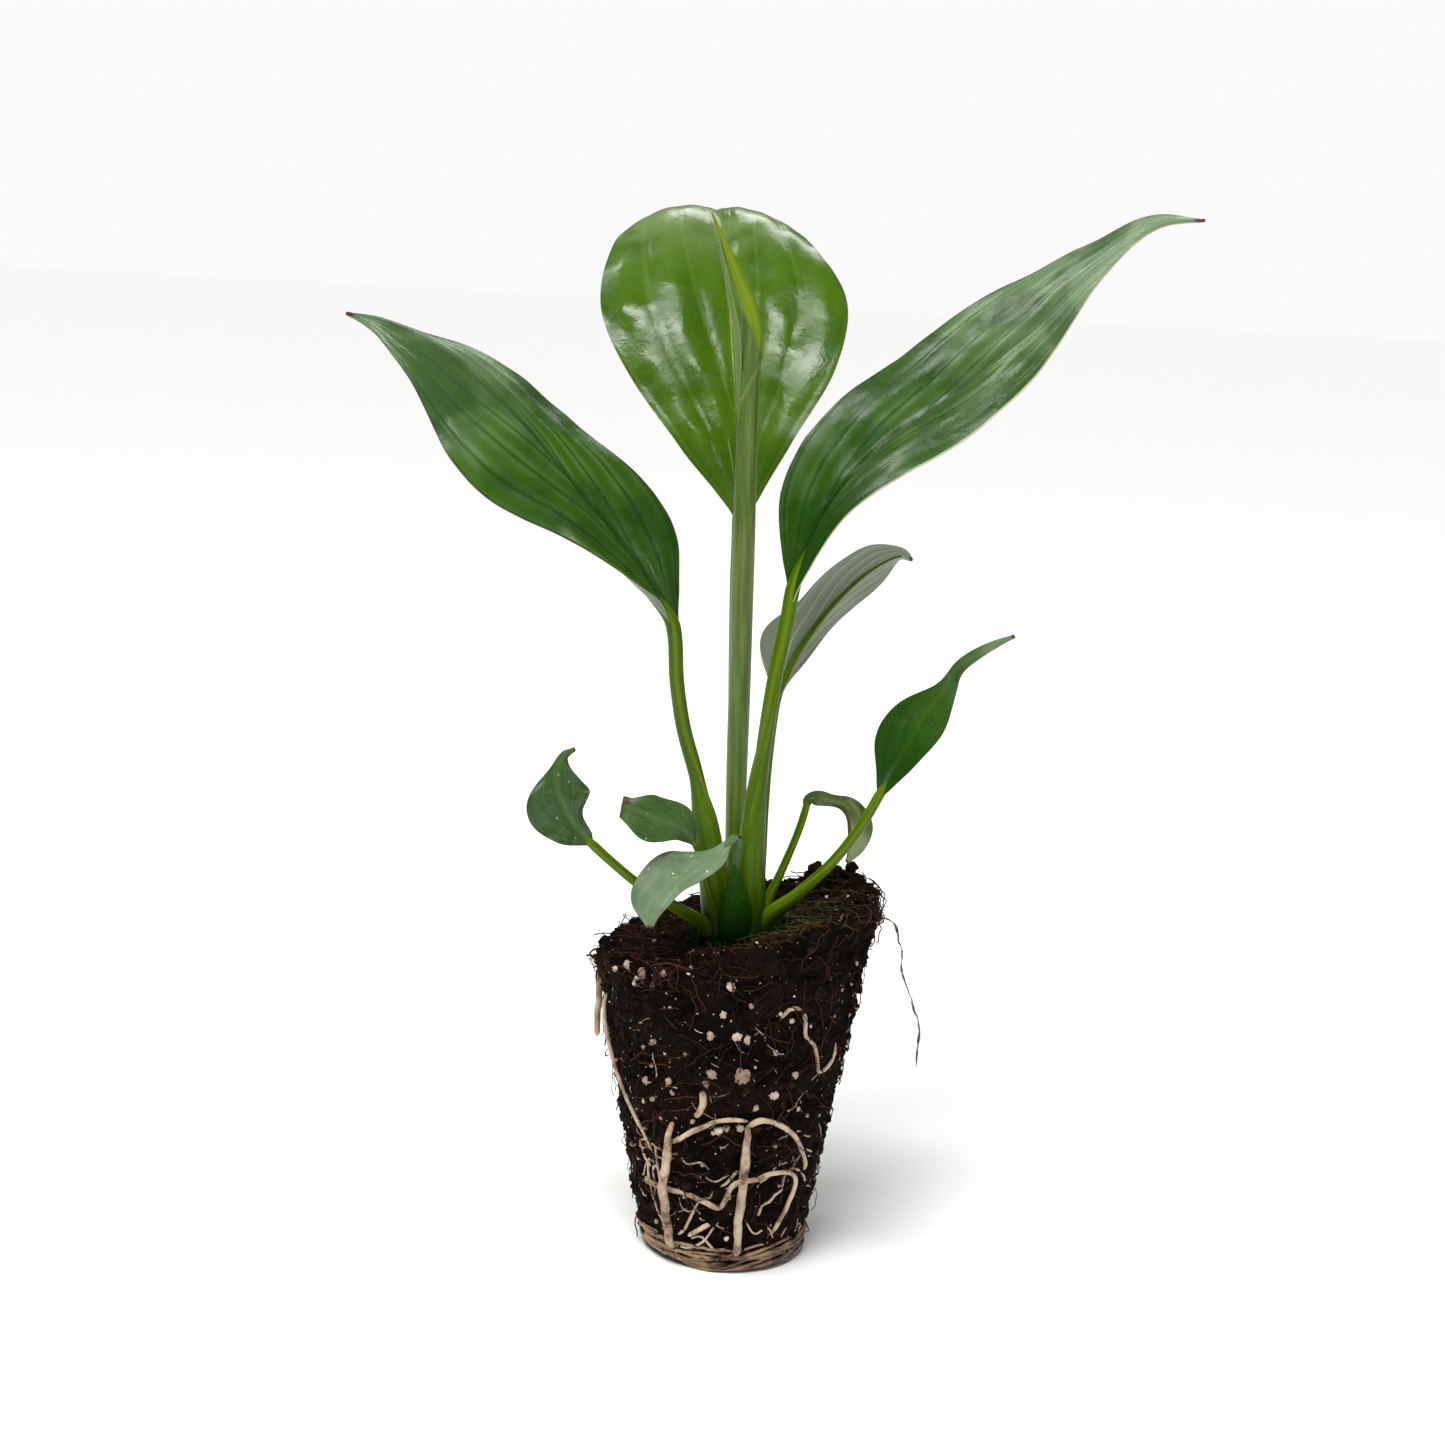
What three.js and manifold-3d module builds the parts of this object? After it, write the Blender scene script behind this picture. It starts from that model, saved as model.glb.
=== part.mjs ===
/*
 * Peace lily plug plant: a young plant rooted in a tapered plug of peat and coir.
 *
 * Units are millimetres and +Z is up. +X is the plant's right and +Y its back.
 * The origin is the centre of the plug's flat base, which the plant stands on.
 *
 * Every leaf is one smooth line from the crown to the leaf's tip. The first part of
 * that line carries the petiole and the rest carries the blade. The plug is a turned
 * body whose top slopes up to the right. Roots follow its side at a fixed clearance.
 */
import * as THREE from "three";
import { mergeVertices } from "three/addons/utils/BufferGeometryUtils.js";
import Module from "manifold-3d";

const wasm = await Module();
wasm.setup();

// ---------------------------------------------------------------- driving dimensions

const GAP = 0.3; // clearance between neighbouring solids
const ROOT_GAP = 0.4; // clearance between the plug's side and a root

const PLUG_HEIGHT = 49; // from the base to the soil at the crown
const PLUG_TOP_RADIUS = 20.5;
const PLUG_BASE_RADIUS = 11.3;
const PLUG_EDGE_RADIUS = 1.8; // rounding between the base and the side
const PLUG_BULGE = 0.92; // below 1 the side swells a little above a straight taper
const RIM_MEAN = 2.8; // how far the rim stands above the soil at the crown
const RIM_TILT = 5.4; // how far the rim's high side stands above that mean
const RIM_HIGH_SIDE = THREE.MathUtils.degToRad(-6); // bearing of the high side

const CROWN_X = -0.3;
const CROWN_Y = -1.2;
const CROWN_RADIUS = 4.4; // stem base at the soil
const CROWN_DEPTH = 9; // how far it reaches into the plug
const CROWN_DOME = 2.6; // how far it stands out of the soil

const FOLIAGE_HEIGHT = 112; // from the soil at the crown to the highest leaf
const FOLIAGE_SPREAD = 123; // from the left leaf's tip to the right leaf's tip
const BLADE_THICKNESS = 0.55;
const MIDRIB_DEPTH = 0.5; // the midrib stands this far below the blade
const TIP_HALF_WIDTH = 0.3;

const MAIN_ROOT_RADIUS = 0.8;
const SIDE_ROOT_RADIUS = 0.45;
const FINE_ROOT_RADIUS = 0.35;
const RING_ROOT_RADIUS = 0.75;

const FOOT_REACH = 30; // foliage within this distance of the axis spreads less
const FOOT_HEIGHT = 12; // and foliage below this height is lifted less

// The leaves below are drawn at this size, and scale with the two foliage dimensions.
const DRAWN_HEIGHT = 112;
const DRAWN_SPREAD = 123;

// ---------------------------------------------------------------- colours

const look = (color, roughness) =>
  new THREE.MeshStandardMaterial({ color, roughness, metalness: 0 });

const SOIL = look(0x24170f, 0.95);
const YOUNG_BLADE = look(0x4f8f1f, 0.3);
const DARK_BLADE = look(0x2f6a1c, 0.3);
const DULL_BLADE = look(0x5c7a58, 0.45);
const PETIOLE = look(0x5b8a1c, 0.4);
const SHEATH = look(0x235c14, 0.4);
const ROOT = look(0xc9b79c, 0.6);
const DRY_ROOT = look(0x6b5546, 0.85);

// ---------------------------------------------------------------- solids and meshes

/** A closed geometry as a manifold-3d solid. */
function solidOf(geometry) {
  const bare = geometry.clone();
  bare.deleteAttribute("normal");
  bare.deleteAttribute("uv");
  const merged = mergeVertices(bare, 1e-3);
  return new wasm.Manifold(
    new wasm.Mesh({
      numProp: 3,
      vertProperties: merged.attributes.position.array,
      triVerts: new Uint32Array(merged.index.array),
    }),
  );
}

/** A manifold-3d solid as a three.js geometry. */
function geometryOf(solid) {
  const { numProp, vertProperties, triVerts } = solid.getMesh();
  const count = vertProperties.length / numProp;
  const positions = new Float32Array(count * 3);
  for (let i = 0; i < count; i++) {
    positions.set(vertProperties.subarray(i * numProp, i * numProp + 3), i * 3);
  }
  const geometry = new THREE.BufferGeometry();
  geometry.setAttribute("position", new THREE.BufferAttribute(positions, 3));
  geometry.setIndex(new THREE.BufferAttribute(triVerts, 1));
  geometry.computeVertexNormals();
  return geometry;
}

/** The largest separate body of a solid, so that a cut leaves no loose chips. */
function largestBody(solid) {
  return solid.decompose().reduce((a, b) => (a.volume() >= b.volume() ? a : b));
}

const plant = new THREE.Group();

function addMesh(name, geometry, material) {
  const mesh = new THREE.Mesh(geometry, material);
  mesh.name = name;
  plant.add(mesh);
}

// ---------------------------------------------------------------- bending solids

const vector = (p) => new THREE.Vector3(...p);

/** A smooth curve through the points. */
const curveThrough = (points) => new THREE.CatmullRomCurve3(points, false, "centripetal");

/** Moves every vertex (x, y, z) of a closed geometry to place(x, y, z). */
function bend(geometry, place) {
  const position = geometry.attributes.position;
  for (let i = 0; i < position.count; i++) {
    const moved = place(position.getX(i), position.getY(i), position.getZ(i));
    position.setXYZ(i, moved.x, moved.y, moved.z);
  }
  geometry.computeVertexNormals();
  return geometry;
}

/** The stretch of a curve between two shares of its length. */
function stretch(curve, from, to) {
  const samples = 24;
  return curveThrough(
    Array.from({ length: samples + 1 }, (_, i) =>
      curve.getPointAt(from + ((to - from) * i) / samples),
    ),
  );
}

/** A closed round tube along the whole of a curve. */
function tube(curve, radiusAt, { sides = 8, steps = 12, extra = 0 } = {}) {
  const frames = curve.computeFrenetFrames(steps, false);
  const straight = new THREE.CylinderGeometry(1, 1, steps, sides, steps);
  straight.rotateX(Math.PI / 2);
  return bend(straight, (x, y, z) => {
    const step = Math.round(z + steps / 2);
    const radius = radiusAt(step / steps) + extra;
    return curve
      .getPointAt(step / steps)
      .addScaledVector(frames.normals[step], x * radius)
      .addScaledVector(frames.binormals[step], y * radius);
  });
}

/** The share of a curve's length at which it passes its control point `index`. */
function shareAtPoint(curve, index) {
  const finePerSpan = 50;
  const lengths = curve.getLengths((curve.points.length - 1) * finePerSpan);
  return lengths[index * finePerSpan] / lengths.at(-1);
}

// ---------------------------------------------------------------- plug

/** Height of the rim above the soil at the crown, on a bearing round the plug. */
const rimRise = (bearing) => RIM_MEAN + RIM_TILT * Math.cos(bearing - RIM_HIGH_SIDE);

/** The plug's radius at a share of its height. */
const plugRadius = (share) =>
  PLUG_BASE_RADIUS + (PLUG_TOP_RADIUS - PLUG_BASE_RADIUS) * Math.max(share, 0) ** PLUG_BULGE;

/** A point beside the plug, `off` outside its surface, at a bearing and a height. */
function besidePlug(bearingDeg, height, off) {
  const bearing = THREE.MathUtils.degToRad(bearingDeg);
  const share = height / (PLUG_HEIGHT + rimRise(bearing));
  const radius = plugRadius(share) + off;
  return new THREE.Vector3(radius * Math.cos(bearing), radius * Math.sin(bearing), height);
}

function plugProfile() {
  const sideRings = 6;
  const topRings = 4;
  const roundingSteps = 3;
  const profile = [new THREE.Vector2(0, 0)];
  for (let i = 0; i <= roundingSteps; i++) {
    const turn = (i / roundingSteps) * (Math.PI / 2);
    const side = plugRadius(PLUG_EDGE_RADIUS / PLUG_HEIGHT);
    const radius = side - PLUG_EDGE_RADIUS * (1 - Math.sin(turn));
    profile.push(new THREE.Vector2(radius, PLUG_EDGE_RADIUS * (1 - Math.cos(turn))));
  }
  const edgeShare = PLUG_EDGE_RADIUS / PLUG_HEIGHT;
  for (let i = 1; i <= sideRings; i++) {
    const share = edgeShare + (1 - edgeShare) * (i / sideRings);
    profile.push(new THREE.Vector2(plugRadius(share), share * PLUG_HEIGHT));
  }
  for (let i = topRings - 1; i >= 0; i--) {
    profile.push(new THREE.Vector2((PLUG_TOP_RADIUS * i) / topRings, PLUG_HEIGHT));
  }
  return profile;
}

function plugSolid() {
  const turned = new THREE.LatheGeometry(plugProfile(), 32);
  turned.rotateX(Math.PI / 2);
  const sloped = bend(turned, (x, y, z) => {
    const share = Math.max(z, 0) / PLUG_HEIGHT;
    const outward = Math.min(Math.hypot(x, y) / plugRadius(share), 1);
    const rise = rimRise(Math.atan2(y, x)) * share * outward ** 1.5;
    return new THREE.Vector3(x, y, z + rise);
  });
  return solidOf(sloped);
}

// ---------------------------------------------------------------- crown

/** The stem base: a dome above the soil and a blunt cone below it. */
function crownSolid(extra) {
  const radius = CROWN_RADIUS + extra;
  const profile = [
    [0, -CROWN_DEPTH - extra],
    [radius * 0.5, -CROWN_DEPTH * 0.86 - extra],
    [radius * 0.8, -CROWN_DEPTH * 0.5],
    [radius, 0],
    [radius * 0.9, CROWN_DOME * 0.5 + extra],
    [radius * 0.55, CROWN_DOME * 0.9 + extra],
    [0, CROWN_DOME + extra],
  ].map(([r, z]) => new THREE.Vector2(r, z));
  const turned = new THREE.LatheGeometry(profile, 20);
  turned.rotateX(Math.PI / 2);
  turned.translate(CROWN_X, CROWN_Y, PLUG_HEIGHT);
  return solidOf(turned);
}

// ---------------------------------------------------------------- leaves

/**
 * A leaf's point, drawn from the soil at the plug's axis, in the plant's frame.
 * The foot of the petioles keeps its size, so that they stay packed round the crown.
 */
function foliagePoint([x, y, z]) {
  const { lerp, smoothstep } = THREE.MathUtils;
  const outward = smoothstep(Math.hypot(x, y), CROWN_RADIUS, FOOT_REACH);
  const upward = smoothstep(z, 0, FOOT_HEIGHT);
  const spread = lerp(1, FOLIAGE_SPREAD / DRAWN_SPREAD, outward);
  const rise = lerp(1, FOLIAGE_HEIGHT / DRAWN_HEIGHT, upward);
  return new THREE.Vector3(x * spread, y * spread, PLUG_HEIGHT + z * rise);
}

/** A smooth value at share t, from values evenly spaced between the blade's base and tip. */
function valueAt(values, t) {
  const spacing = 1 / (values.length - 1);
  const points = values.map((value, i) => new THREE.Vector2(i * spacing, value));
  return new THREE.SplineCurve(points).getPoint(t).y;
}

/** The direction that a blade's upper face looks in, at share t, square to its line. */
function upperFace(faces, tangent, t) {
  const at = t * (faces.length - 1);
  const low = Math.min(Math.floor(at), faces.length - 2);
  return vector(faces[low])
    .lerp(vector(faces[low + 1]), at - low)
    .projectOnPlane(tangent)
    .normalize();
}

/** How far a half blade reaches outwards and upwards, a share u out from the midrib. */
function crossSection(u, halfWidth, fold, roll) {
  const turned = fold + roll * u;
  const straight = Math.abs(roll) < 1e-6;
  const out = straight ? u * Math.cos(fold) : (Math.sin(turned) - Math.sin(fold)) / roll;
  const up = straight ? u * Math.sin(fold) : (Math.cos(fold) - Math.cos(turned)) / roll;
  return { out: halfWidth * out, up: halfWidth * up, turned };
}

const FLAT_ROLLS = [-0.3, -0.3]; // how far most blades turn down between midrib and margin

/** A thin closed blade with a midrib below, along the leaf's line from `from` to its tip. */
function bladeGeometry(curve, from, leaf) {
  const { left, right, faces, folds, rolls = FLAT_ROLLS, across = 6, along = 16 } = leaf;
  const slab = new THREE.BoxGeometry(2, 2, 1, across, 1, along);
  return bend(slab, (u, v, z) => {
    const t = z + 0.5;
    const share = from + (1 - from) * t;
    const tangent = curve.getTangentAt(share);
    const up = upperFace(faces, tangent, t);
    const towardsLeft = new THREE.Vector3().crossVectors(up, tangent);
    const hand = Math.sign(u);
    const halfWidth = Math.max(valueAt(u > 0 ? left : right, t), TIP_HALF_WIDTH);
    const section = crossSection(Math.abs(u), halfWidth, valueAt(folds, t), valueAt(rolls, t));
    const thickness = BLADE_THICKNESS * THREE.MathUtils.lerp(1, 0.6, Math.abs(u));
    const rib = v < 0 && u === 0 ? MIDRIB_DEPTH * (1 - t) : 0;
    const depth = (v * thickness) / 2 - rib;
    return curve
      .getPointAt(share)
      .addScaledVector(towardsLeft, hand * (section.out - depth * Math.sin(section.turned)))
      .addScaledVector(up, section.up + depth * Math.cos(section.turned));
  });
}

/** The petiole's radius: a broad sheath that narrows into a thin stalk. */
function petioleRadius(leaf) {
  const { sheath = 1.4, stalk = 0.9, sheathEnd = 0.5 } = leaf;
  return (share) =>
    THREE.MathUtils.lerp(
      sheath,
      stalk,
      THREE.MathUtils.smoothstep(share, sheathEnd - 0.25, sheathEnd + 0.1),
    );
}

/*
 * `line` runs from inside the crown to the leaf's tip, and `joint` is the index of the
 * point where the petiole ends. `faces` are the directions that the blade's upper face
 * looks in, evenly spaced from the blade's base to its tip.
 */
const LEAVES = [
  {
    name: "right_leaf",
    line: [
      [1.3, -3.2, -1], [1.5, -4.9, 6.8], [1.4, -6, 15.6], [1.8, -6.8, 26.5], [2.7, -7, 35.6],
      [3.5, -6.2, 42.9], [4.7, -5, 50.3], [5.3, -4.5, 55], [7.3, -3, 61.5], [11.2, -1, 68.9],
      [17.3, 1, 76], [27.6, 3, 84], [37.7, 4, 93.2], [47.6, 4, 103.2], [55.4, 3, 109.8],
      [62, 2, 110.8],
    ],
    joint: 7, sheath: 2.2, stalk: 1.1, sheathEnd: 0.55,
    left: [1.4, 8.5, 11.5, 12.8, 12.4, 9.5, 4.5, 0.3],
    right: [2.6, 6.2, 9, 10.4, 8.2, 4, 1.2, 0.3],
    folds: [0.5, 0.3, 0.15, 0.1],
    faces: [[-0.6, -0.5, 0.3], [-0.5, -0.6, 0.6], [-0.5, -0.6, 0.6], [-0.3, -0.5, 0.8]],
    material: DARK_BLADE,
  },
  {
    name: "left_leaf",
    line: [
      [-2.8, -3, -1], [-3.6, -4, 6.3], [-5, -5, 15], [-7.3, -6, 25.8], [-9.6, -7, 33.4],
      [-11, -8, 41], [-11.5, -9, 47.1], [-12.1, -9, 49.7], [-16.5, -9, 56.5],
      [-22.3, -8, 63.3], [-28.1, -7, 69.6], [-34.5, -6, 76.2], [-40.9, -5, 81.9],
      [-48.3, -5, 87.5], [-55, -5, 90.4], [-60.9, -6, 91.4],
    ],
    joint: 7, sheath: 2.2, stalk: 1.1, sheathEnd: 0.5,
    left: [2.2, 7, 11, 15, 13.5, 10, 5.5, 0.3],
    right: [1.8, 8, 10, 9.5, 8, 6, 2, 0.3],
    folds: [0.5, 0.3, 0, -0.1],
    faces: [[0.6, -0.6, 0.3], [0.5, -0.6, 0.6], [0.45, -0.6, 0.6], [0.2, -0.5, 0.8]],
    material: DARK_BLADE,
  },
  {
    name: "back_leaf",
    line: [
      [-0.8, 1.2, -1], [-1.4, 3.2, 20], [-2.3, 4.8, 40], [-2.8, 7, 54], [-3, 10, 63],
      [-4, 14.5, 75], [-5.6, 21, 89], [-7.4, 30, 102], [-9, 41, 108.6], [-10.4, 52, 107],
      [-11.4, 60, 101],
    ],
    joint: 4, sheath: 1.7, stalk: 1.2, sheathEnd: 0.4,
    left: [1.2, 9, 15.8, 20, 19, 15.4, 9, 0.3],
    right: [1.8, 8.4, 15.6, 18.4, 14.8, 12.4, 8, 0.3],
    folds: [0.4, 0.25, 0.35, 0.3],
    rolls: [-0.3, -0.3, -0.5, -1.1, -1.1],
    faces: [[0, -1, 0.2], [0, -1, 0.4], [0, -0.5, 1], [0, 0.3, 1]],
    material: YOUNG_BLADE,
  },
  {
    name: "right_back_leaf",
    line: [
      [1.9, 1.2, -1], [2.8, 3, 13.4], [3.1, 5, 25.5], [3.6, 7, 32.6], [4.1, 8, 36.4],
      [5.9, 9.5, 41.6], [9.3, 11.5, 47.1], [13.6, 14, 52.2], [18.1, 17, 55.9],
      [22.5, 19, 57.8], [24.2, 20, 57],
    ],
    joint: 4, sheath: 1.3, stalk: 0.8, sheathEnd: 0.5,
    left: [0.8, 2.4, 3, 3.8, 3.6, 0.3],
    right: [0.8, 6, 4.4, 4.7, 3.6, 0.3],
    folds: [0.4, 0.3, 0.2],
    faces: [[-0.3, 0.9, 0.2], [-0.2, 0.9, 0.3], [-0.1, 0.8, 0.5]],
    across: 6, along: 12, material: DULL_BLADE,
  },
  {
    name: "low_right_leaf",
    line: [
      [2.6, -2.6, 0.6], [4.2, -5, 4.8], [7.9, -8, 9.2], [12.9, -11, 15.2], [17.1, -12, 21.7],
      [19.5, -12, 26.5], [22.1, -12, 31.7], [24.7, -11, 36.8], [28.1, -10, 42],
      [29.7, -10, 45.3], [32, -10, 47.3], [35.5, -10, 49.4], [37.6, -10, 50.4],
    ],
    joint: 5, sheath: 1.3, stalk: 0.75, sheathEnd: 0.5,
    left: [0.9, 5, 5.1, 1.9, 0.7, 0.3],
    right: [1, 3.2, 4.4, 2.2, 0.7, 0.3],
    folds: [0.4, 0.2, 0.1],
    faces: [[-0.5, -0.7, 0.4], [-0.5, -0.7, 0.4], [-0.5, 0.1, 0.5], [-0.3, 0.5, 0.8]],
    across: 4, along: 12, material: DARK_BLADE,
  },
  {
    name: "curled_right_leaf",
    line: [
      [3.2, 0.8, 0.2], [4, 1.6, 4.8], [6.2, 3.6, 10], [8.6, 6, 16.2], [9.5, 7.3, 19.3],
      [9.8, 7.6, 20.7], [11.2, 7.4, 21.3], [13.4, 7, 21], [15.6, 6.2, 20.6],
      [17, 5.2, 19.6], [17.8, 4, 18.1], [17.6, 3, 15.8], [16.9, 2.4, 13.9], [16, 2, 12.4],
    ],
    joint: 4, sheath: 0.9, stalk: 0.6, sheathEnd: 0.5,
    left: [0.6, 0.9, 0.8, 1.6, 2.2, 1.5, 0.3],
    right: [0.6, 1.6, 1.1, 1.6, 2.2, 1.5, 0.3],
    folds: [0.4, 0.2, 0.1],
    faces: [[-0.4, -0.8, 0.4], [0, -0.9, 0.4], [0.5, -0.8, 0.4], [0.7, -0.7, 0]],
    across: 4, along: 10, material: DULL_BLADE,
  },
  {
    name: "low_left_leaf",
    line: [
      [-3.4, -3, 0.6], [-5.2, -5.6, 3.6], [-9.3, -9.6, 7], [-14.8, -13.4, 11.2],
      [-19.4, -15.6, 15.4], [-22, -16.8, 18], [-24.8, -17.8, 21], [-26.8, -18.2, 24.7],
      [-27.4, -17.6, 28.8], [-26.5, -16.8, 30.9], [-25, -16, 31.6],
    ],
    joint: 5, sheath: 1.2, stalk: 0.7, sheathEnd: 0.5,
    left: [0.7, 4, 5.2, 1, 0.3],
    right: [0.7, 2.2, 4.6, 2.4, 0.3],
    folds: [0.4, 0.2, 0.1],
    faces: [[0.3, -0.8, 0.5], [0.3, -0.9, 0.2], [0.1, -0.9, 0.3]],
    across: 4, along: 10, material: DULL_BLADE,
  },
  {
    name: "small_left_leaf",
    line: [
      [-2.6, -4.4, 1], [-4.2, -7, 6.5], [-5.7, -8.4, 12.6], [-7.1, -9.4, 16.8],
      [-8.7, -10, 18.6], [-11, -11, 20], [-14.6, -12.6, 21.6], [-18, -13.4, 23.1],
    ],
    joint: 3, sheath: 0.8, stalk: 0.5, sheathEnd: 0.4,
    left: [0.6, 2, 3.6, 4.3, 2.2],
    right: [0.6, 3.9, 4.1, 3.3, 1.8],
    folds: [0.4, 0.2, 0.1],
    faces: [[0.2, -0.6, 0.8], [0.1, -0.7, 0.7], [0.1, -0.6, 0.8]],
    across: 4, along: 8, material: DULL_BLADE,
  },
  {
    name: "front_leaf",
    line: [
      [-0.8, -4.2, 1.4], [-1.1, -7, 7], [-1, -8.4, 12.6], [-0.7, -9.2, 16.4],
      [-0.9, -10, 18.4], [-2, -10.8, 17.8], [-3.6, -12, 16], [-6.4, -14.2, 14.5],
      [-9.8, -16.6, 12.8], [-12.4, -19, 10], [-13, -20.4, 6.8],
    ],
    joint: 5, sheath: 0.8, stalk: 0.65, sheathEnd: 0.4,
    left: [0.9, 2, 2.1, 2.1, 2, 0.6],
    right: [0.9, 2.5, 4.8, 5.6, 4.8, 0.6],
    folds: [0.2, 0.1, 0],
    faces: [[-0.4, -0.6, 0.7], [-0.3, -0.7, 0.6], [-0.4, -0.8, 0.5], [-0.5, -0.8, 0.2]],
    across: 4, along: 10, material: DULL_BLADE,
  },
];

/** The rolled new leaf, which rises from the right leaf's sheath to a bent point. */
const SPEAR = {
  line: [
    [-0.4, -0.6, -1], [-1.1, -1, 14.2], [-1.4, -1, 25], [-1.6, -1, 37.3], [-1.9, -1, 49.3],
    [-2.2, -1, 61.2], [-2.6, -1, 73], [-2.8, -1, 84], [-3, -1, 93.2], [-5.9, -1, 100.7],
    [-9.4, -1, 108.3],
  ],
  radius: 1.65,
  tipRadius: 0.2,
  taperFrom: 0.84,
};

/** The short dark sheath leaf at the foot of the petioles, in front. */
const CROWN_SHEATH = {
  line: [[-0.4, -7.2, 1.6], [-0.4, -8.2, 5], [-0.6, -9.2, 9.4], [-1.2, -10, 14]],
  left: [2.4, 2.7, 1.9, 0.3],
  right: [2.4, 2.7, 1.9, 0.3],
  folds: [0.1, 0.1],
  rolls: [0.9, 0.9],
  faces: [[0, 1, 0.1], [0, 1, 0.1]],
  across: 4,
  along: 6,
};

/** The radius of the rolled leaf at a share of its length. */
function spearRadius(share) {
  const tapered = Math.max(share - SPEAR.taperFrom, 0) / (1 - SPEAR.taperFrom);
  return THREE.MathUtils.lerp(SPEAR.radius, SPEAR.tipRadius, tapered);
}

function addFoliage() {
  const spearCurve = curveThrough(SPEAR.line.map(foliagePoint));
  const spearShape = { sides: 8, steps: 28 };
  const spear = solidOf(tube(spearCurve, spearRadius, spearShape));
  let taken = solidOf(tube(spearCurve, spearRadius, { ...spearShape, extra: GAP }))
    .add(crownSolid(GAP))
    .add(plugSolid().translate(0, 0, GAP));
  addMesh(
    "new_leaf_spear",
    geometryOf(largestBody(spear.subtract(crownSolid(GAP)))),
    YOUNG_BLADE,
  );

  for (const leaf of LEAVES) {
    const curve = curveThrough(leaf.line.map(foliagePoint));
    const joint = shareAtPoint(curve, leaf.joint);
    const halfGap = GAP / 2 / curve.getLength();
    const stalkCurve = stretch(curve, 0, joint - halfGap);
    const shape = { steps: leaf.joint * 3 };
    const radiusAt = petioleRadius(leaf);
    const petiole = solidOf(tube(stalkCurve, radiusAt, shape)).subtract(taken);
    addMesh(`${leaf.name}_petiole`, geometryOf(largestBody(petiole)), PETIOLE);
    taken = taken.add(solidOf(tube(stalkCurve, radiusAt, { ...shape, extra: GAP })));
    const blade = bladeGeometry(curve, joint + halfGap, leaf);
    addMesh(`${leaf.name}_blade`, blade, leaf.material);
  }

  const sheathCurve = curveThrough(CROWN_SHEATH.line.map(foliagePoint));
  const sheath = solidOf(bladeGeometry(sheathCurve, 0, CROWN_SHEATH)).subtract(taken);
  addMesh("crown_sheath", geometryOf(largestBody(sheath)), SHEATH);
}

// ---------------------------------------------------------------- roots

/*
 * A root's route is a list of [bearing, height, lift]. Bearings are degrees round the
 * plug, with 0 to the right and -90 at the front. Lift carries a root over a thicker one.
 */
const OVER = 2 * MAIN_ROOT_RADIUS + GAP; // lift of a root that crosses a main root

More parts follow.
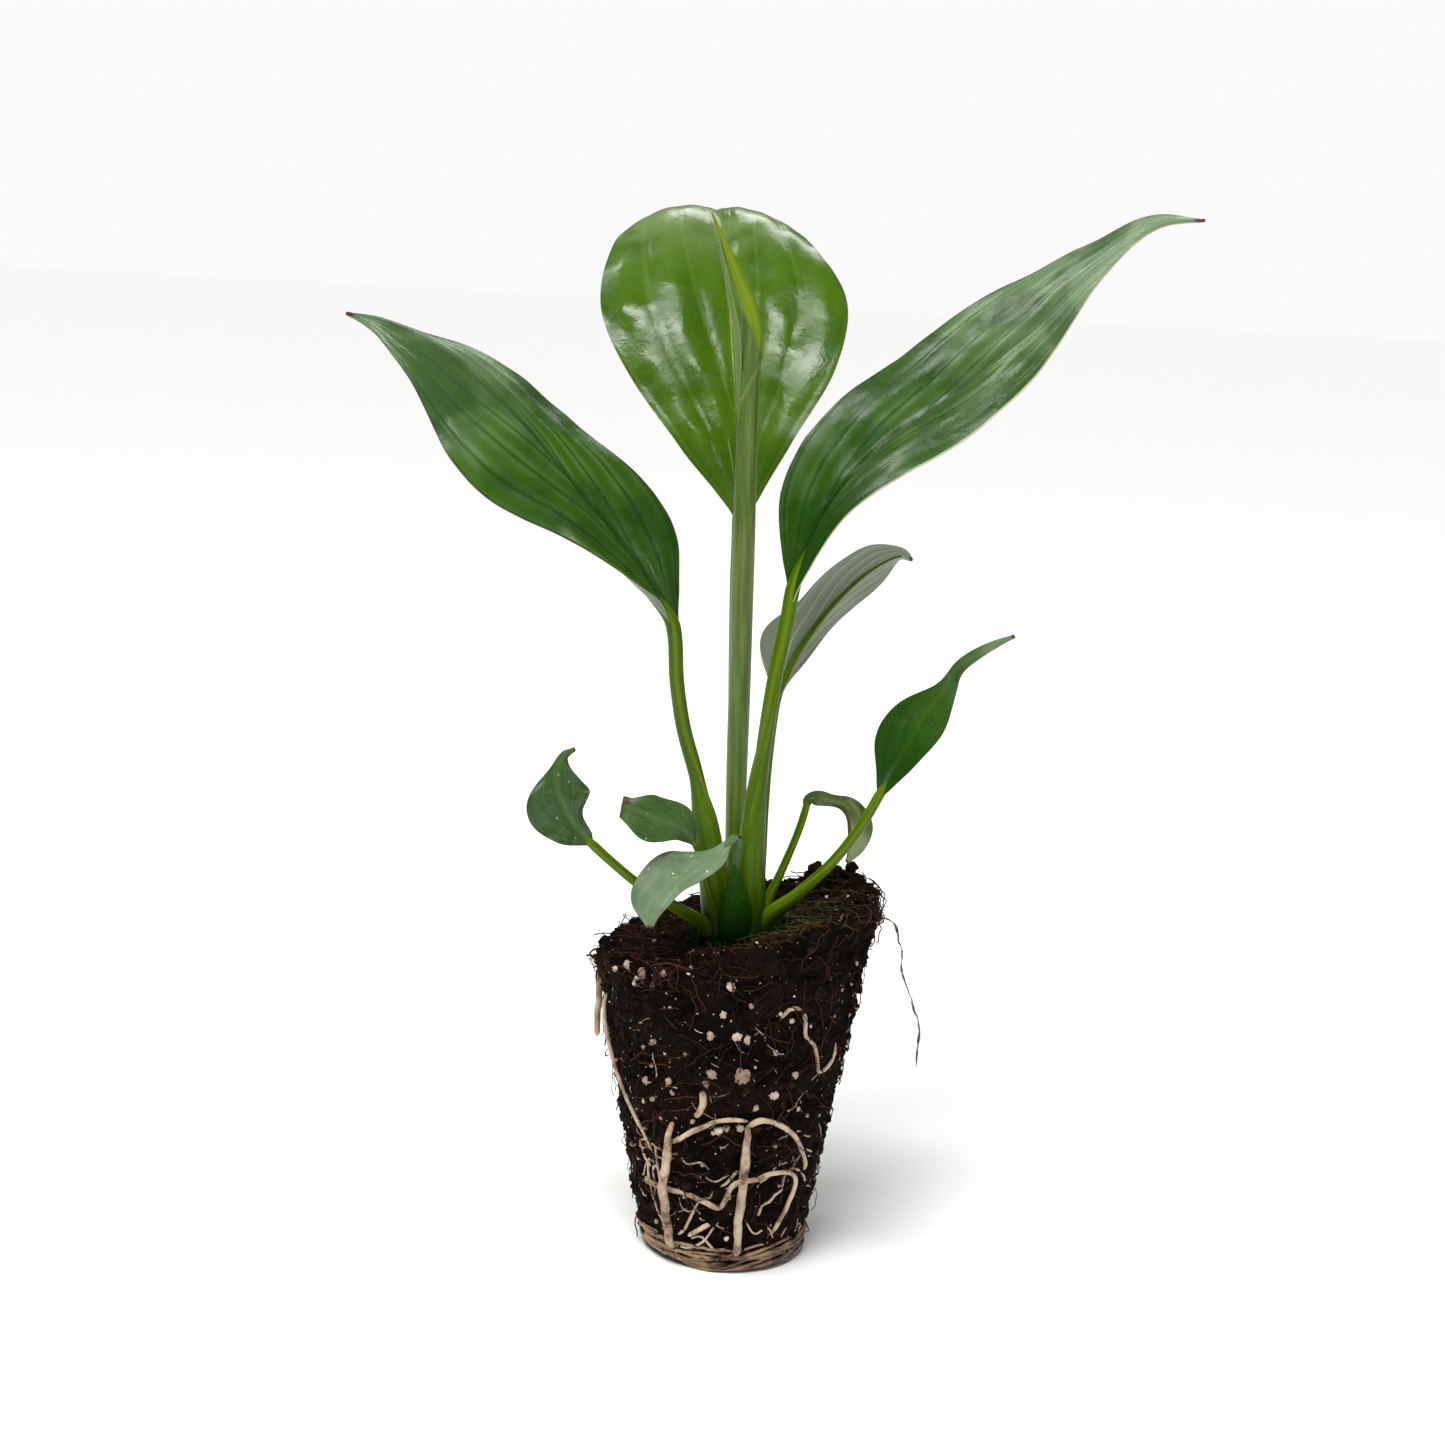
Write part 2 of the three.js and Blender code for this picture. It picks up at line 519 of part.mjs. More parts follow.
const ROOTS = [
  {
    name: "left_main_root",
    radius: MAIN_ROOT_RADIUS,
    route: [
      [-120, 25], [-122, 19.6, 0.4], [-123, 15, 1.3], [-123.5, 12.4, 1.4], [-124, 9.5, 1.2],
      [-125, 4.4, 0.2],
    ],
    steps: 18,
  },
  {
    name: "middle_main_root",
    radius: MAIN_ROOT_RADIUS,
    route: [[-80, 26], [-80, 19], [-80, 14], [-81, 9.5], [-80, 4.2]],
  },
  {
    name: "left_arch_root",
    radius: SIDE_ROOT_RADIUS,
    route: [[-116, 22], [-110, 23.4], [-102, 24.8], [-92, 26.2], [-85, 26.6]],
  },
  {
    name: "right_arch_root",
    radius: SIDE_ROOT_RADIUS,
    route: [[-74, 26], [-64, 25.2], [-52, 22.6], [-42, 18.8], [-34, 15.4]],
  },
  {
    name: "cross_root",
    radius: SIDE_ROOT_RADIUS,
    route: [
      [-148, 13], [-137, 13], [-123.5, 13], [-112, 13], [-101, 12], [-93, 11.4],
      [-89, 13], [-86, 15.8, 1.5], [-80, 16.8, OVER], [-74, 16.8, 1.5], [-64, 16.8],
      [-50, 16.4], [-44, 14.6], [-47, 11], [-57, 5.4],
    ],
    steps: 36,
  },
  {
    name: "stub_root",
    radius: 0.6,
    route: [[-104, 30.4], [-103, 28.4], [-105, 26.9], [-108, 26]],
  },
  {
    name: "slanting_root",
    radius: SIDE_ROOT_RADIUS,
    route: [[-97, 8.6], [-105, 7.2], [-113, 5.6]],
  },
  {
    name: "upper_root",
    radius: FINE_ROOT_RADIUS,
    route: [
      [-70, 42], [-66, 44], [-60, 43.6], [-57, 41.8], [-56, 39.4], [-50, 37.6],
      [-46, 35.2], [-42, 32.6], [-35, 33], [-28, 36.4],
    ],
    steps: 26,
  },
  {
    name: "left_fine_root",
    radius: FINE_ROOT_RADIUS,
    route: [
      [-166, 41, 0.2], [-166, 36, 0.6], [-163, 30.5, 0.4], [-154, 25.5], [-142, 21.6],
      [-134, 18],
    ],
    steps: 20,
  },
  {
    name: "left_hanging_root",
    radius: 0.6,
    route: [[178, 44, 0], [178, 40, 0.4], [179, 36, 1.2], [-178, 32.5, 1.8]],
  },
  {
    name: "right_hanging_root",
    radius: FINE_ROOT_RADIUS,
    dry: true,
    route: [
      [2, 52.6, 0.1], [2, 53.4, 1.8], [0, 52.4, 3.4], [-2, 48, 5], [-3, 43, 7.2],
      [-4, 38.6, 9.4], [-4, 34, 10.8], [-4, 30.4, 11],
    ],
    steps: 22,
  },
  {
    name: "back_main_root",
    radius: MAIN_ROOT_RADIUS,
    route: [[96, 27], [98, 21], [97, 15], [99, 9.6], [98, 4.4]],
  },
  {
    name: "back_right_root",
    radius: MAIN_ROOT_RADIUS,
    route: [[32, 22], [34, 16], [32, 10.6], [34, 4.4]],
  },
  {
    name: "back_cross_root",
    radius: SIDE_ROOT_RADIUS,
    route: [
      [158, 16], [146, 18], [132, 16.6], [119, 14.6], [105, 15, 1.5], [97.5, 15.4, OVER],
      [90, 15.4, 1.5], [74, 17.4], [62, 19.6], [50, 18.8],
    ],
    steps: 26,
  },
  {
    name: "back_upper_root",
    radius: FINE_ROOT_RADIUS,
    route: [
      [142, 40], [134, 38.6], [128, 35.2], [119, 34], [112, 30.8], [117, 27.6],
      [126, 26.2],
    ],
    steps: 20,
  },
];

/** The roots that circle the foot of the plug. They run from a bearing to a bearing. */
const RING_ROOTS = [
  { name: "lower_ring_root", height: 1, from: -200, to: 150 },
  { name: "upper_ring_root", height: 2.9, from: -215, to: 90 },
];

function addRingRoots() {
  for (const { name, height, from, to } of RING_ROOTS) {
    const bends = 24;
    const points = Array.from({ length: bends + 1 }, (_, i) =>
      besidePlug(from + ((to - from) * i) / bends, height, ROOT_GAP + RING_ROOT_RADIUS),
    );
    const shape = { sides: 6, steps: 40 };
    addMesh(name, tube(curveThrough(points), () => RING_ROOT_RADIUS, shape), ROOT);
  }
}

function addRoots() {
  for (const { name, radius, route, steps = 14, dry } of ROOTS) {
    const curve = curveThrough(
      route.map(([bearing, height, lift = 0]) =>
        besidePlug(bearing, height, ROOT_GAP + radius + lift),
      ),
    );
    const shape = { sides: 6, steps };
    addMesh(name, tube(curve, () => radius, shape), dry ? DRY_ROOT : ROOT);
  }
}

// ---------------------------------------------------------------- the whole plant

addMesh("substrate_plug", geometryOf(plugSolid().subtract(crownSolid(GAP))), SOIL);
addMesh("crown", geometryOf(crownSolid(0)), SHEATH);
addFoliage();
addRingRoots();
addRoots();

export default plant;
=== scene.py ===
"""
Looks of the peace lily plug plant: glossy veined leaves over a plug of peat, coir and roots.

Lengths are millimetres, and pieces are scaled to metres as they are made. +Z is up, +X is
the plant's right and +Y its back. Leaves and roots follow the same lines as the CAD part.
"""

import math

import bpy
import numpy as np
from mathutils import Matrix, Vector, noise


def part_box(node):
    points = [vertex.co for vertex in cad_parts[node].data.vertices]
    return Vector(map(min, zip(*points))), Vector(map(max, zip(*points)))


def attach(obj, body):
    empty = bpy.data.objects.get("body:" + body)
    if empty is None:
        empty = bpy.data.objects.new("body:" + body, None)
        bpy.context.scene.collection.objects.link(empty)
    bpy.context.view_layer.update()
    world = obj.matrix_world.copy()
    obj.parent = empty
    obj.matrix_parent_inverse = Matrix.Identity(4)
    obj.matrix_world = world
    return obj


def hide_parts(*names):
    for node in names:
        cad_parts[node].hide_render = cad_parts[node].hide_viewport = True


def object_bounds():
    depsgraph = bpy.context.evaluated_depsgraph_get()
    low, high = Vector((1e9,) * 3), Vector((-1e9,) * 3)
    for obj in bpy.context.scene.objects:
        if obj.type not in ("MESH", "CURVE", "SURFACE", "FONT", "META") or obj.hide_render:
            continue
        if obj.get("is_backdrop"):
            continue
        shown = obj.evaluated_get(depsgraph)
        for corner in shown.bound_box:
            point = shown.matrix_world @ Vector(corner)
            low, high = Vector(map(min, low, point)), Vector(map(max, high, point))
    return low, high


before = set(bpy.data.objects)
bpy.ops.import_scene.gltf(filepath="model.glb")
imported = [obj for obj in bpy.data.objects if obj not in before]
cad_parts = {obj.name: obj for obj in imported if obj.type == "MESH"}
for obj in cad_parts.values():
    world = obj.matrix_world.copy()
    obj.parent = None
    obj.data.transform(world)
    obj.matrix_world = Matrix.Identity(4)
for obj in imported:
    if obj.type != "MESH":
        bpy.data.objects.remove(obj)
CAD_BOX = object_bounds()

MM = 0.001

# ---------------------------------------------------------------- sizes, as in the CAD part

FOOT_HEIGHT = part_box("substrate_plug")[0][2] / MM
CROWN_LOW, CROWN_HIGH = (np.array(corner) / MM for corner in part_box("crown"))
CROWN_CENTRE = (CROWN_LOW + CROWN_HIGH) / 2
CROWN_RADIUS = (CROWN_HIGH[0] - CROWN_LOW[0]) / 2

GAP = 0.3  # between neighbouring pieces
ROOT_GAP = 0.4  # between a root and the plug
PLUG_HEIGHT = 49.0
PLUG_TOP_RADIUS = 20.5
PLUG_BASE_RADIUS = 11.3
PLUG_EDGE_RADIUS = 1.8
PLUG_BULGE = 0.92
RIM_MEAN = 2.8
RIM_TILT = 5.4
RIM_HIGH_SIDE = math.radians(-6)
TIP_HALF_WIDTH = 0.3
BLADE_THICKNESS = 0.55
MARGIN_THICKNESS = 0.16
MAIN_ROOT_RADIUS = 0.8
SIDE_ROOT_RADIUS = 0.45
FINE_ROOT_RADIUS = 0.35
RING_ROOT_RADIUS = 0.75
OVER = 2 * MAIN_ROOT_RADIUS + GAP  # how far a root lifts to pass over a main one


# ---------------------------------------------------------------- small maths

def unit(v):
    """Vectors of length one."""
    return v / np.maximum(np.linalg.norm(v, axis=-1, keepdims=True), 1e-9)


def smoothstep(value, low, high):
    t = np.clip((np.asarray(value, float) - low) / (high - low), 0, 1)
    return t * t * (3 - 2 * t)


def lerp(a, b, t):
    return a + (b - a) * t


def fractal(points, scale, octaves=3, seed=0.0):
    """Smooth noise from about -1 to 1 at points in millimetres. scale is one noise cell."""
    shift = Vector((seed * 17.3, seed * 5.1, seed * 9.7))
    return np.array([
        noise.fractal(Vector(p) / scale + shift, 1.0, 2.1, octaves)
        for p in np.atleast_2d(points)
    ])


def cubic(b, c, leave, arrive, w):
    """From b to c as w goes from 0 to 1, with the slopes leave and arrive."""
    return (
        b + leave * w
        + (3 * (c - b) - 2 * leave - arrive) * w**2
        + (2 * (b - c) + leave + arrive) * w**3
    )


def value_at(values, t):
    """A smooth value at shares t, from values evenly spaced from 0 to 1."""
    v = np.array([values[0], *values, values[-1]], float)
    at = np.clip(t, 0, 1) * (len(values) - 1)
    i = np.minimum(np.floor(at).astype(int), len(values) - 2)
    w = at - i
    a, b, c, d = v[i], v[i + 1], v[i + 2], v[i + 3]
    return cubic(b, c, (c - a) / 2, (d - b) / 2, w)


class Line:
    """A smooth line through points, measured by shares of its length."""

    PER_SPAN = 40

    def __init__(self, points):
        p = np.array(points, float)
        p = np.vstack([2 * p[0] - p[1], p, 2 * p[-1] - p[-2]])
        w = np.linspace(0, 1, self.PER_SPAN, endpoint=False)[:, None]
        spans = []
        for a, b, c, d in zip(p, p[1:], p[2:], p[3:]):
            before, here, after = (np.linalg.norm(e) ** 0.5 for e in (b - a, c - b, d - c))
            leave = here * ((b - a) / before - (c - a) / (before + here) + (c - b) / here)
            arrive = here * ((c - b) / here - (d - b) / (here + after) + (d - c) / after)
            spans.append(cubic(b, c, leave, arrive, w))
        self.points = np.vstack([*spans, p[-2:-1]])
        steps = np.linalg.norm(np.diff(self.points, axis=0), axis=1)
        self.lengths = np.concatenate([[0], np.cumsum(steps)])
        self.length = self.lengths[-1]
        self.knots = self.lengths[:: self.PER_SPAN] / self.length

    def at(self, share):
        reach = np.clip(share, 0, 1) * self.length
        return np.stack([np.interp(reach, self.lengths, axis) for axis in self.points.T], -1)

    def tangent(self, share):
        step = 0.4 / self.length
        return unit(self.at(np.minimum(share + step, 1)) - self.at(np.maximum(share - step, 0)))


# ---------------------------------------------------------------- pieces

def add_piece(name, points, faces, material, slot, nodes=(), **attributes):
    """A smooth mesh that rides on the plant and stands for the CAD nodes."""
    mesh = bpy.data.meshes.new(name)
    mesh.from_pydata((np.asarray(points) * MM).tolist(), [], faces)
    for key, values in attributes.items():
        values = np.asarray(values, np.float32)
        kind, socket = ("FLOAT", "value") if values.ndim == 1 else ("FLOAT_VECTOR", "vector")
        mesh.attributes.new(key, kind, "POINT").data.foreach_set(socket, values.ravel())
    mesh.materials.append(material)
    mesh.shade_smooth()
    piece = bpy.data.objects.new(name, mesh)
    bpy.context.scene.collection.objects.link(piece)
    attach(piece, "root")
    if nodes:
        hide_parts(*nodes)
    return piece


class Batch:
    """Many small meshes gathered into one piece, with a value from 0 to 1 on each."""

    def __init__(self):
        self.points, self.faces, self.tints, self.count = [], [], [], 0

    def add(self, points, faces, tint=0.5):
        self.points.append(points)
        self.faces += [[i + self.count for i in face] for face in faces]
        self.tints.append(np.broadcast_to(tint, len(points)))
        self.count += len(points)

    def piece(self, name, material, slot, nodes=()):
        points, tints = np.vstack(self.points), np.concatenate(self.tints)
        return add_piece(name, points, self.faces, material, slot, nodes, tint=tints)


def grid_faces(rows, columns, first=0, closed=False, flip=False):
    """The quads of a grid of points, numbered row by row."""
    faces = []
    for i in range(rows - 1):
        for j in range(columns if closed else columns - 1):
            k = (j + 1) % columns
            face = [i * columns + j, i * columns + k, (i + 1) * columns + k, (i + 1) * columns + j]
            faces.append([first + n for n in (reversed(face) if flip else face)])
    return faces


def tube_faces(rings, sides):
    """The faces of a closed tube: its wall and one flat end at each side."""
    first_end = list(range(sides))[::-1]
    last_end = [(rings - 1) * sides + j for j in range(sides)]
    return [*grid_faces(rings, sides, closed=True), first_end, last_end]


def sweep(centres, sides, radii, up=None):
    """A closed tube. radii is one value a ring, or one a point. up fixes where it starts."""
    rings = len(centres)
    ahead = unit(np.gradient(centres, axis=0))
    if up is None:
        across = np.empty_like(ahead)
        side = np.cross(ahead[0], [0.31, 0.17, 0.93])
        for i in range(rings):
            side = unit(side - ahead[i] * (side @ ahead[i]))
            across[i] = side
    else:
        across = unit(up - ahead * np.sum(up * ahead, axis=1, keepdims=True))
    beside = np.cross(ahead, across)
    turn = np.arange(sides) * 2 * math.pi / sides
    radii = np.asarray(radii, float)
    if radii.ndim == 1:
        radii = radii[:, None]
    radii = np.broadcast_to(radii, (rings, sides))[..., None]
    wall = centres[:, None] + radii * (
        across[:, None] * np.cos(turn)[:, None] + beside[:, None] * np.sin(turn)[:, None]
    )
    return wall.reshape(-1, 3), tube_faces(rings, sides)


# ---------------------------------------------------------------- materials

def colour(code):
    """The linear colour of a screen colour written as 0xRRGGBB."""
    parts = ((code >> 16 & 255) / 255, (code >> 8 & 255) / 255, (code & 255) / 255)
    linear = (c / 12.92 if c <= 0.04045 else ((c + 0.055) / 1.055) ** 2.4 for c in parts)
    return (*linear, 1.0)


def socket_name(word):
    """The shader's own name of an input: coat_weight is Coat Weight."""
    return word.replace("_", " ").title().replace("Ior", "IOR")


class Finish:
    """A material's node tree, with one short call for each kind of node."""

    def __init__(self, name, **constants):
        self.material = bpy.data.materials.new(name)
        self.material.use_nodes = True
        self.tree = self.material.node_tree
        self.shader = self.tree.nodes["Principled BSDF"]
        for socket, value in constants.items():
            self.shader.inputs[socket_name(socket)].default_value = value

    def node(self, kind, inputs, output=0, **settings):
        node = self.tree.nodes.new(kind)
        for key, value in settings.items():
            setattr(node, key, value)
        for key, value in inputs.items():
            self.plug(node.inputs[key], value)
        return node.outputs[output]

    def plug(self, socket, value):
        if isinstance(value, bpy.types.NodeSocket):
            self.tree.links.new(value, socket)
        else:
            socket.default_value = value

    def attribute(self, name, output="Fac"):
        return self.node("ShaderNodeAttribute", {}, output, attribute_name=name)

    def place(self):
        return self.node("ShaderNodeTexCoord", {}, "Object")

    def noise(self, vector, scale, detail=3.0, rough=0.55):
        inputs = {"Vector": vector, "Scale": scale, "Detail": detail, "Roughness": rough}
        return self.node("ShaderNodeTexNoise", inputs)

    def cells(self, vector, scale):
        return self.node("ShaderNodeTexVoronoi", {"Vector": vector, "Scale": scale}, "Distance")

    def math(self, operation, a, b):
        return self.node("ShaderNodeMath", {0: a, 1: b}, operation=operation)

    def times(self, a, b):
        return self.math("MULTIPLY", a, b)

    def fade(self, value, low, high, out_low=0.0, out_high=1.0):
        inputs = {0: value, 1: low, 2: high, 3: out_low, 4: out_high}
        return self.node("ShaderNodeMapRange", inputs, interpolation_type="SMOOTHSTEP")

    def mix(self, share, a, b):
        a, b = (colour(c) if isinstance(c, int) else c for c in (a, b))
        return self.node("ShaderNodeMix", {0: share, 6: a, 7: b}, 2, data_type="RGBA")

    def bump(self, height, strength, distance=0.1):
        inputs = {"Height": height, "Strength": strength, "Distance": distance * MM}
        return self.node("ShaderNodeBump", inputs, "Normal")

    def set(self, **sockets):
        for socket, value in sockets.items():
            self.plug(self.shader.inputs[socket_name(socket)], value)
        return self.material


FOLD_SHEEN = 0x6F8A5A  # painted sheen: the pale bands beside the veins, where the folds would catch the light
CURLED = 0x5E7C1C  # a margin that curls up
DEEP_SHADE = 0x113602  # painted shade: the base of a dark blade darkened
SPECK, DRY = 0xE6E8DC, 0x4A3216

# What a blade's look has where it doesn't say: mostly how strongly each colour shows.
PLAIN_LOOK = dict(
    gloss=0.5, stripe=0.35, minor=0.12, veins=0.5, fold_sheen=0.0, rib=0.6, base=0.5, shade=0.0,
    painted_sheen=0.0, painted_sheen_colour=0x808080, rim=0.55, right_rim=None, specks=0.0,
)


def blade_finish(name, look):
    """A leaf blade: mottled green, pale veins and midrib, dry margins and a glossy skin."""
    look = {**PLAIN_LOOK, **look}
    finish = Finish(f"{name}_skin", specular_ior_level=look["gloss"])
    fact, fade, mix = finish.attribute, finish.fade, finish.mix
    times, calc = finish.times, finish.math
    place = finish.place()
    phase = fact("phase")
    midrib = fact("midrib")
    across = fact("across")
    along = fact("along")
    upper = fact("upper")

    broad = fade(finish.noise(place, 90, 2.0), 0.35, 0.7)
    fine = finish.noise(place, 900, 4.0, 0.7)
    green = mix(broad, look["deep"], look["green"])
    green = mix(fade(fine, 0.5, 0.8, 0.0, 0.5), green, look["light"])
    stripe = calc("PINGPONG", phase, 0.5)
    vein = fade(stripe, 0.0, 0.09, 1.0, 0.0)
    between = fade(stripe, 0.1, 0.5, 0.0, look["stripe"])
    green = mix(between, green, look["light"])
    minor = calc("PINGPONG", times(phase, 6.0), 0.5)
    minor = fade(minor, 0.0, 0.2, look["minor"], 0.0)
    veins = times(calc("MAXIMUM", vein, minor), look["veins"])
    green = mix(veins, green, look["vein"])
    under = mix(veins, look["under"], look["vein"])
    # painted sheen: pale bands on the folds beside each vein
    beside = times(fade(stripe, 0.03, 0.12), fade(stripe, 0.14, 0.42, 1.0, 0.0))
    beside = times(beside, fade(broad, 0.1, 0.9, 0.25, 1.0))
    green = mix(times(beside, look["fold_sheen"]), green, FOLD_SHEEN)
    green = mix(upper, under, green)
    rib = fade(midrib, 0.25, 0.75, look["rib"], 0.0)
    green = mix(rib, green, look["rib_colour"])
    green = mix(times(fact("curled"), 0.8), green, CURLED)
    base = fade(along, 0.0, 0.14, look["base"], 0.0)
    green = mix(base, green, look["rib_colour"])
    # painted shade: darker towards the blade's base
    green = mix(fade(along, 0.08, 0.6, look["shade"], 0.0), green, DEEP_SHADE)
    # painted sheen: a greyish pale veil towards the tip and crest, painted into the colour in place
    # of reflected light
    painted_sheen = times(fade(along, 0.5, 0.85), fade(broad, 0.0, 0.7, 0.3, 1.0))
    green = mix(times(painted_sheen, look["painted_sheen"]), green, look["painted_sheen_colour"])
    margin = fade(across, 0.965, 0.995, 0.0, look["rim"])
    right_rim = look["right_rim"] or look["rim_colour"]
    rim = mix(fact("right_half"), look["rim_colour"], right_rim)
    green = mix(margin, green, rim)
    speck = fade(finish.cells(place, 520), 0.05, 0.1, look["specks"], 0.0)
    green = mix(speck, green, SPECK)
    dry = calc("ADD", fact("dry"), fade(fine, 0.3, 0.7, -0.25, 0.25))
    green = mix(fade(dry, 0.4, 0.75), green, DRY)

    smooth, dull = look["rough"] - 0.07, look["rough"] + 0.1
    rough = fade(finish.noise(place, 260, 3.0), 0.35, 0.65, smooth, dull)
    crinkle = times(finish.noise(place, 650, 4.0, 0.6), 1.6)
    skin = calc("ADD", crinkle, fade(stripe, 0.0, 0.12, 0.0, 0.6))
    return finish.set(base_color=green, roughness=rough, normal=finish.bump(skin, 0.3, 0.12))


def stalk_finish(name, look):
    """A petiole: green with pale streaks, yellow at its edges, the leaf's colour at a hook."""
    finish = Finish(f"{name}_skin", specular_ior_level=0.16)
    streak = finish.noise(finish.attribute("streak", "Vector"), 1.6, 3.0)
    along = finish.attribute("along")
    edge = finish.attribute("edge")
    green = finish.mix(finish.fade(streak, 0.35, 0.7), look["green"], look["light"])
    green = finish.mix(finish.fade(edge, 0.2, 0.9, 0.0, 0.4), green, look["edge"])
    foot = finish.mix(finish.attribute("large"), look["pale_foot"], look["foot"])
    green = finish.mix(finish.fade(along, 0.04, 0.26, 0.85, 0.0), green, foot)
    hook = finish.times(finish.attribute("hook"), finish.fade(along, 0.5, 0.75))
    green = finish.mix(hook, green, look["hook"])
    rough = finish.fade(streak, 0.3, 0.7, 0.28, 0.45)
    return finish.set(base_color=green, roughness=rough, normal=finish.bump(streak, 0.35, 0.15))


def peat_finish(name, dark, brown, light):
    """Damp peat: near-black crumbs with brown and paler fibres between them."""
    finish = Finish(name, specular_ior_level=0.06)
    place = finish.place()
    grain = finish.noise(place, 700, 6.0, 0.75)
    clump = finish.noise(place, 140, 3.0)
    crumb = finish.cells(place, 900)
    peat = finish.mix(finish.fade(clump, 0.38, 0.66), dark, brown)
    peat = finish.mix(finish.fade(grain, 0.58, 0.75, 0.0, 0.7), peat, light)
    height = finish.math("ADD", grain, finish.times(crumb, 0.6))
    rough = finish.fade(grain, 0.3, 0.7, 0.72, 0.98)
    return finish.set(base_color=peat, roughness=rough, normal=finish.bump(height, 0.8, 0.5))


def tinted_finish(name, low, high, roughness, grain=0xFFFFFF, grain_share=0.0, **constants):
    """Small bits that differ from each other: each takes its colour between low and high."""
    finish = Finish(name, **constants)
    place = finish.place()
    spot = finish.noise(place, 1500, 4.0, 0.7)
    body = finish.mix(finish.attribute("tint"), low, high)
    body = finish.mix(finish.fade(spot, 0.5, 0.72, 0.0, grain_share), body, grain)
    rough = finish.fade(spot, 0.3, 0.7, roughness - 0.1, min(roughness + 0.1, 1.0))
    return finish.set(base_color=body, roughness=rough, normal=finish.bump(spot, 0.5, 0.15))


def root_finish(name, pale, tan, soil):
    """A fleshy root: cream to tan along its length, with soil caught on it."""
    finish = Finish(name, specular_ior_level=0.45, coat_weight=0.15, coat_roughness=0.3)
    place = finish.place()
    patch = finish.noise(place, 260, 4.0, 0.65)
    grain = finish.noise(place, 1700, 4.0, 0.7)
    skin = finish.mix(finish.fade(patch, 0.35, 0.65), pale, tan)
    stain = finish.times(finish.fade(patch, 0.48, 0.66), finish.fade(grain, 0.42, 0.6))
    skin = finish.mix(stain, skin, soil)
    rough = finish.fade(grain, 0.3, 0.7, 0.38, 0.65)
    return finish.set(base_color=skin, roughness=rough, normal=finish.bump(grain, 0.4, 0.12))


# ---------------------------------------------------------------- plug

def rim_rise(bearing):
    """How far the tilted rim stands above the soil at the crown."""
    return RIM_MEAN + RIM_TILT * np.cos(bearing - RIM_HIGH_SIDE)


def plug_radius(share):
    """The tapered side's radius at a share of its height."""
    grown = np.maximum(share, 0) ** PLUG_BULGE
    return PLUG_BASE_RADIUS + (PLUG_TOP_RADIUS - PLUG_BASE_RADIUS) * grown


def beside_plug(bearing_deg, height, off):
    """Points beside the plug, off outside its surface, at bearings and heights."""
    bearing = np.radians(bearing_deg)
    radius = plug_radius(height / (PLUG_HEIGHT + rim_rise(bearing))) + off
    flat = np.broadcast_to(height, np.shape(radius))
    return np.stack([radius * np.cos(bearing), radius * np.sin(bearing), flat], -1)


def soil_height(x, y):
    outward = np.minimum(np.hypot(x, y) / PLUG_TOP_RADIUS, 1)
    return PLUG_HEIGHT + rim_rise(np.arctan2(y, x)) * outward**1.5


# How far the peat stands out everywhere, and how much its three sizes of lump add to that.
PEAT_OUT, BROAD_LUMPS, CLUMPS, FINE_LUMPS = 0.5, 0.5, 0.55, 0.42
RIM_CLUMPS = 0.5  # how much more the clumps stand out near the rim


def lumps(points):
    """How far the peat stands out of the plain plug, in millimetres."""
    broad = fractal(points, 6.0, 2, 1)
    clump = fractal(points, 2.2, 3, 2)
    crumb = fractal(points, 0.8, 3, 3)
    outward = np.hypot(points[:, 0], points[:, 1])
    rim = smoothstep(points[:, 2], 40, 50) * smoothstep(outward, 12, 19)
    coarse = PEAT_OUT + BROAD_LUMPS * broad + (CLUMPS + RIM_CLUMPS * rim) * clump
    return coarse + FINE_LUMPS * crumb


UNDERSIDE = 0.9  # how high the hollow under the plug is


def add_plug():
    """The peat itself: rings from the middle of its underside up to the middle of its top."""
    around, up, inward, under = 340, 132, 54, 14
    bearing = np.arange(around) * 2 * math.pi / around
    rim = PLUG_HEIGHT + rim_rise(bearing)
    rings, normals = [], []
    flat = np.stack([np.cos(bearing), np.sin(bearing), np.zeros(around)], -1)
    for i in range(under):
        radius = (PLUG_BASE_RADIUS - PLUG_EDGE_RADIUS) * (i + 0.5) / under
        rings.append(flat * radius + [0, 0, UNDERSIDE])
        normals.append(np.tile([0.0, 0.0, -0.4], (around, 1)))
    for turn in np.linspace(0, math.pi / 2, 5):
        radius = PLUG_BASE_RADIUS - PLUG_EDGE_RADIUS * (1 - math.sin(turn))
        height = UNDERSIDE + (PLUG_EDGE_RADIUS - UNDERSIDE) * (1 - math.cos(turn))
        rings.append(flat * radius + [0, 0, height])
        normals.append(unit(flat * math.sin(turn) + [0, 0, -0.4 * math.cos(turn)]))
    low = PLUG_EDGE_RADIUS / PLUG_HEIGHT
    for share in np.linspace(low, 1, up)[1:]:
        ring = flat * plug_radius(share)
        ring[:, 2] = share * rim
        rings.append(ring)
        tilt = smoothstep(share, 0.93, 1.0) * 0.75
        normals.append(unit(flat + [0, 0, tilt]))
    for share in np.linspace(1, 0, inward + 1)[1:-1]:
        ring = flat * PLUG_TOP_RADIUS * share
        ring[:, 2] = soil_height(ring[:, 0], ring[:, 1])
        rings.append(ring)
        tilt = smoothstep(share, 0.8, 1.0)
        normals.append(unit(flat * tilt + [0, 0, 1]))
    points = np.vstack(rings)
    points = points + np.vstack(normals) * lumps(points)[:, None]
    points[:, 2] = np.maximum(points[:, 2], FOOT_HEIGHT + 0.05)
    peat = peat_finish("peat_finish", 0x0A0705, 0x1D130C, 0x3C2A1B)
    faces = tube_faces(len(rings), around)
    add_piece("peat_plug", points, faces, peat, "soil", ["substrate_plug"])


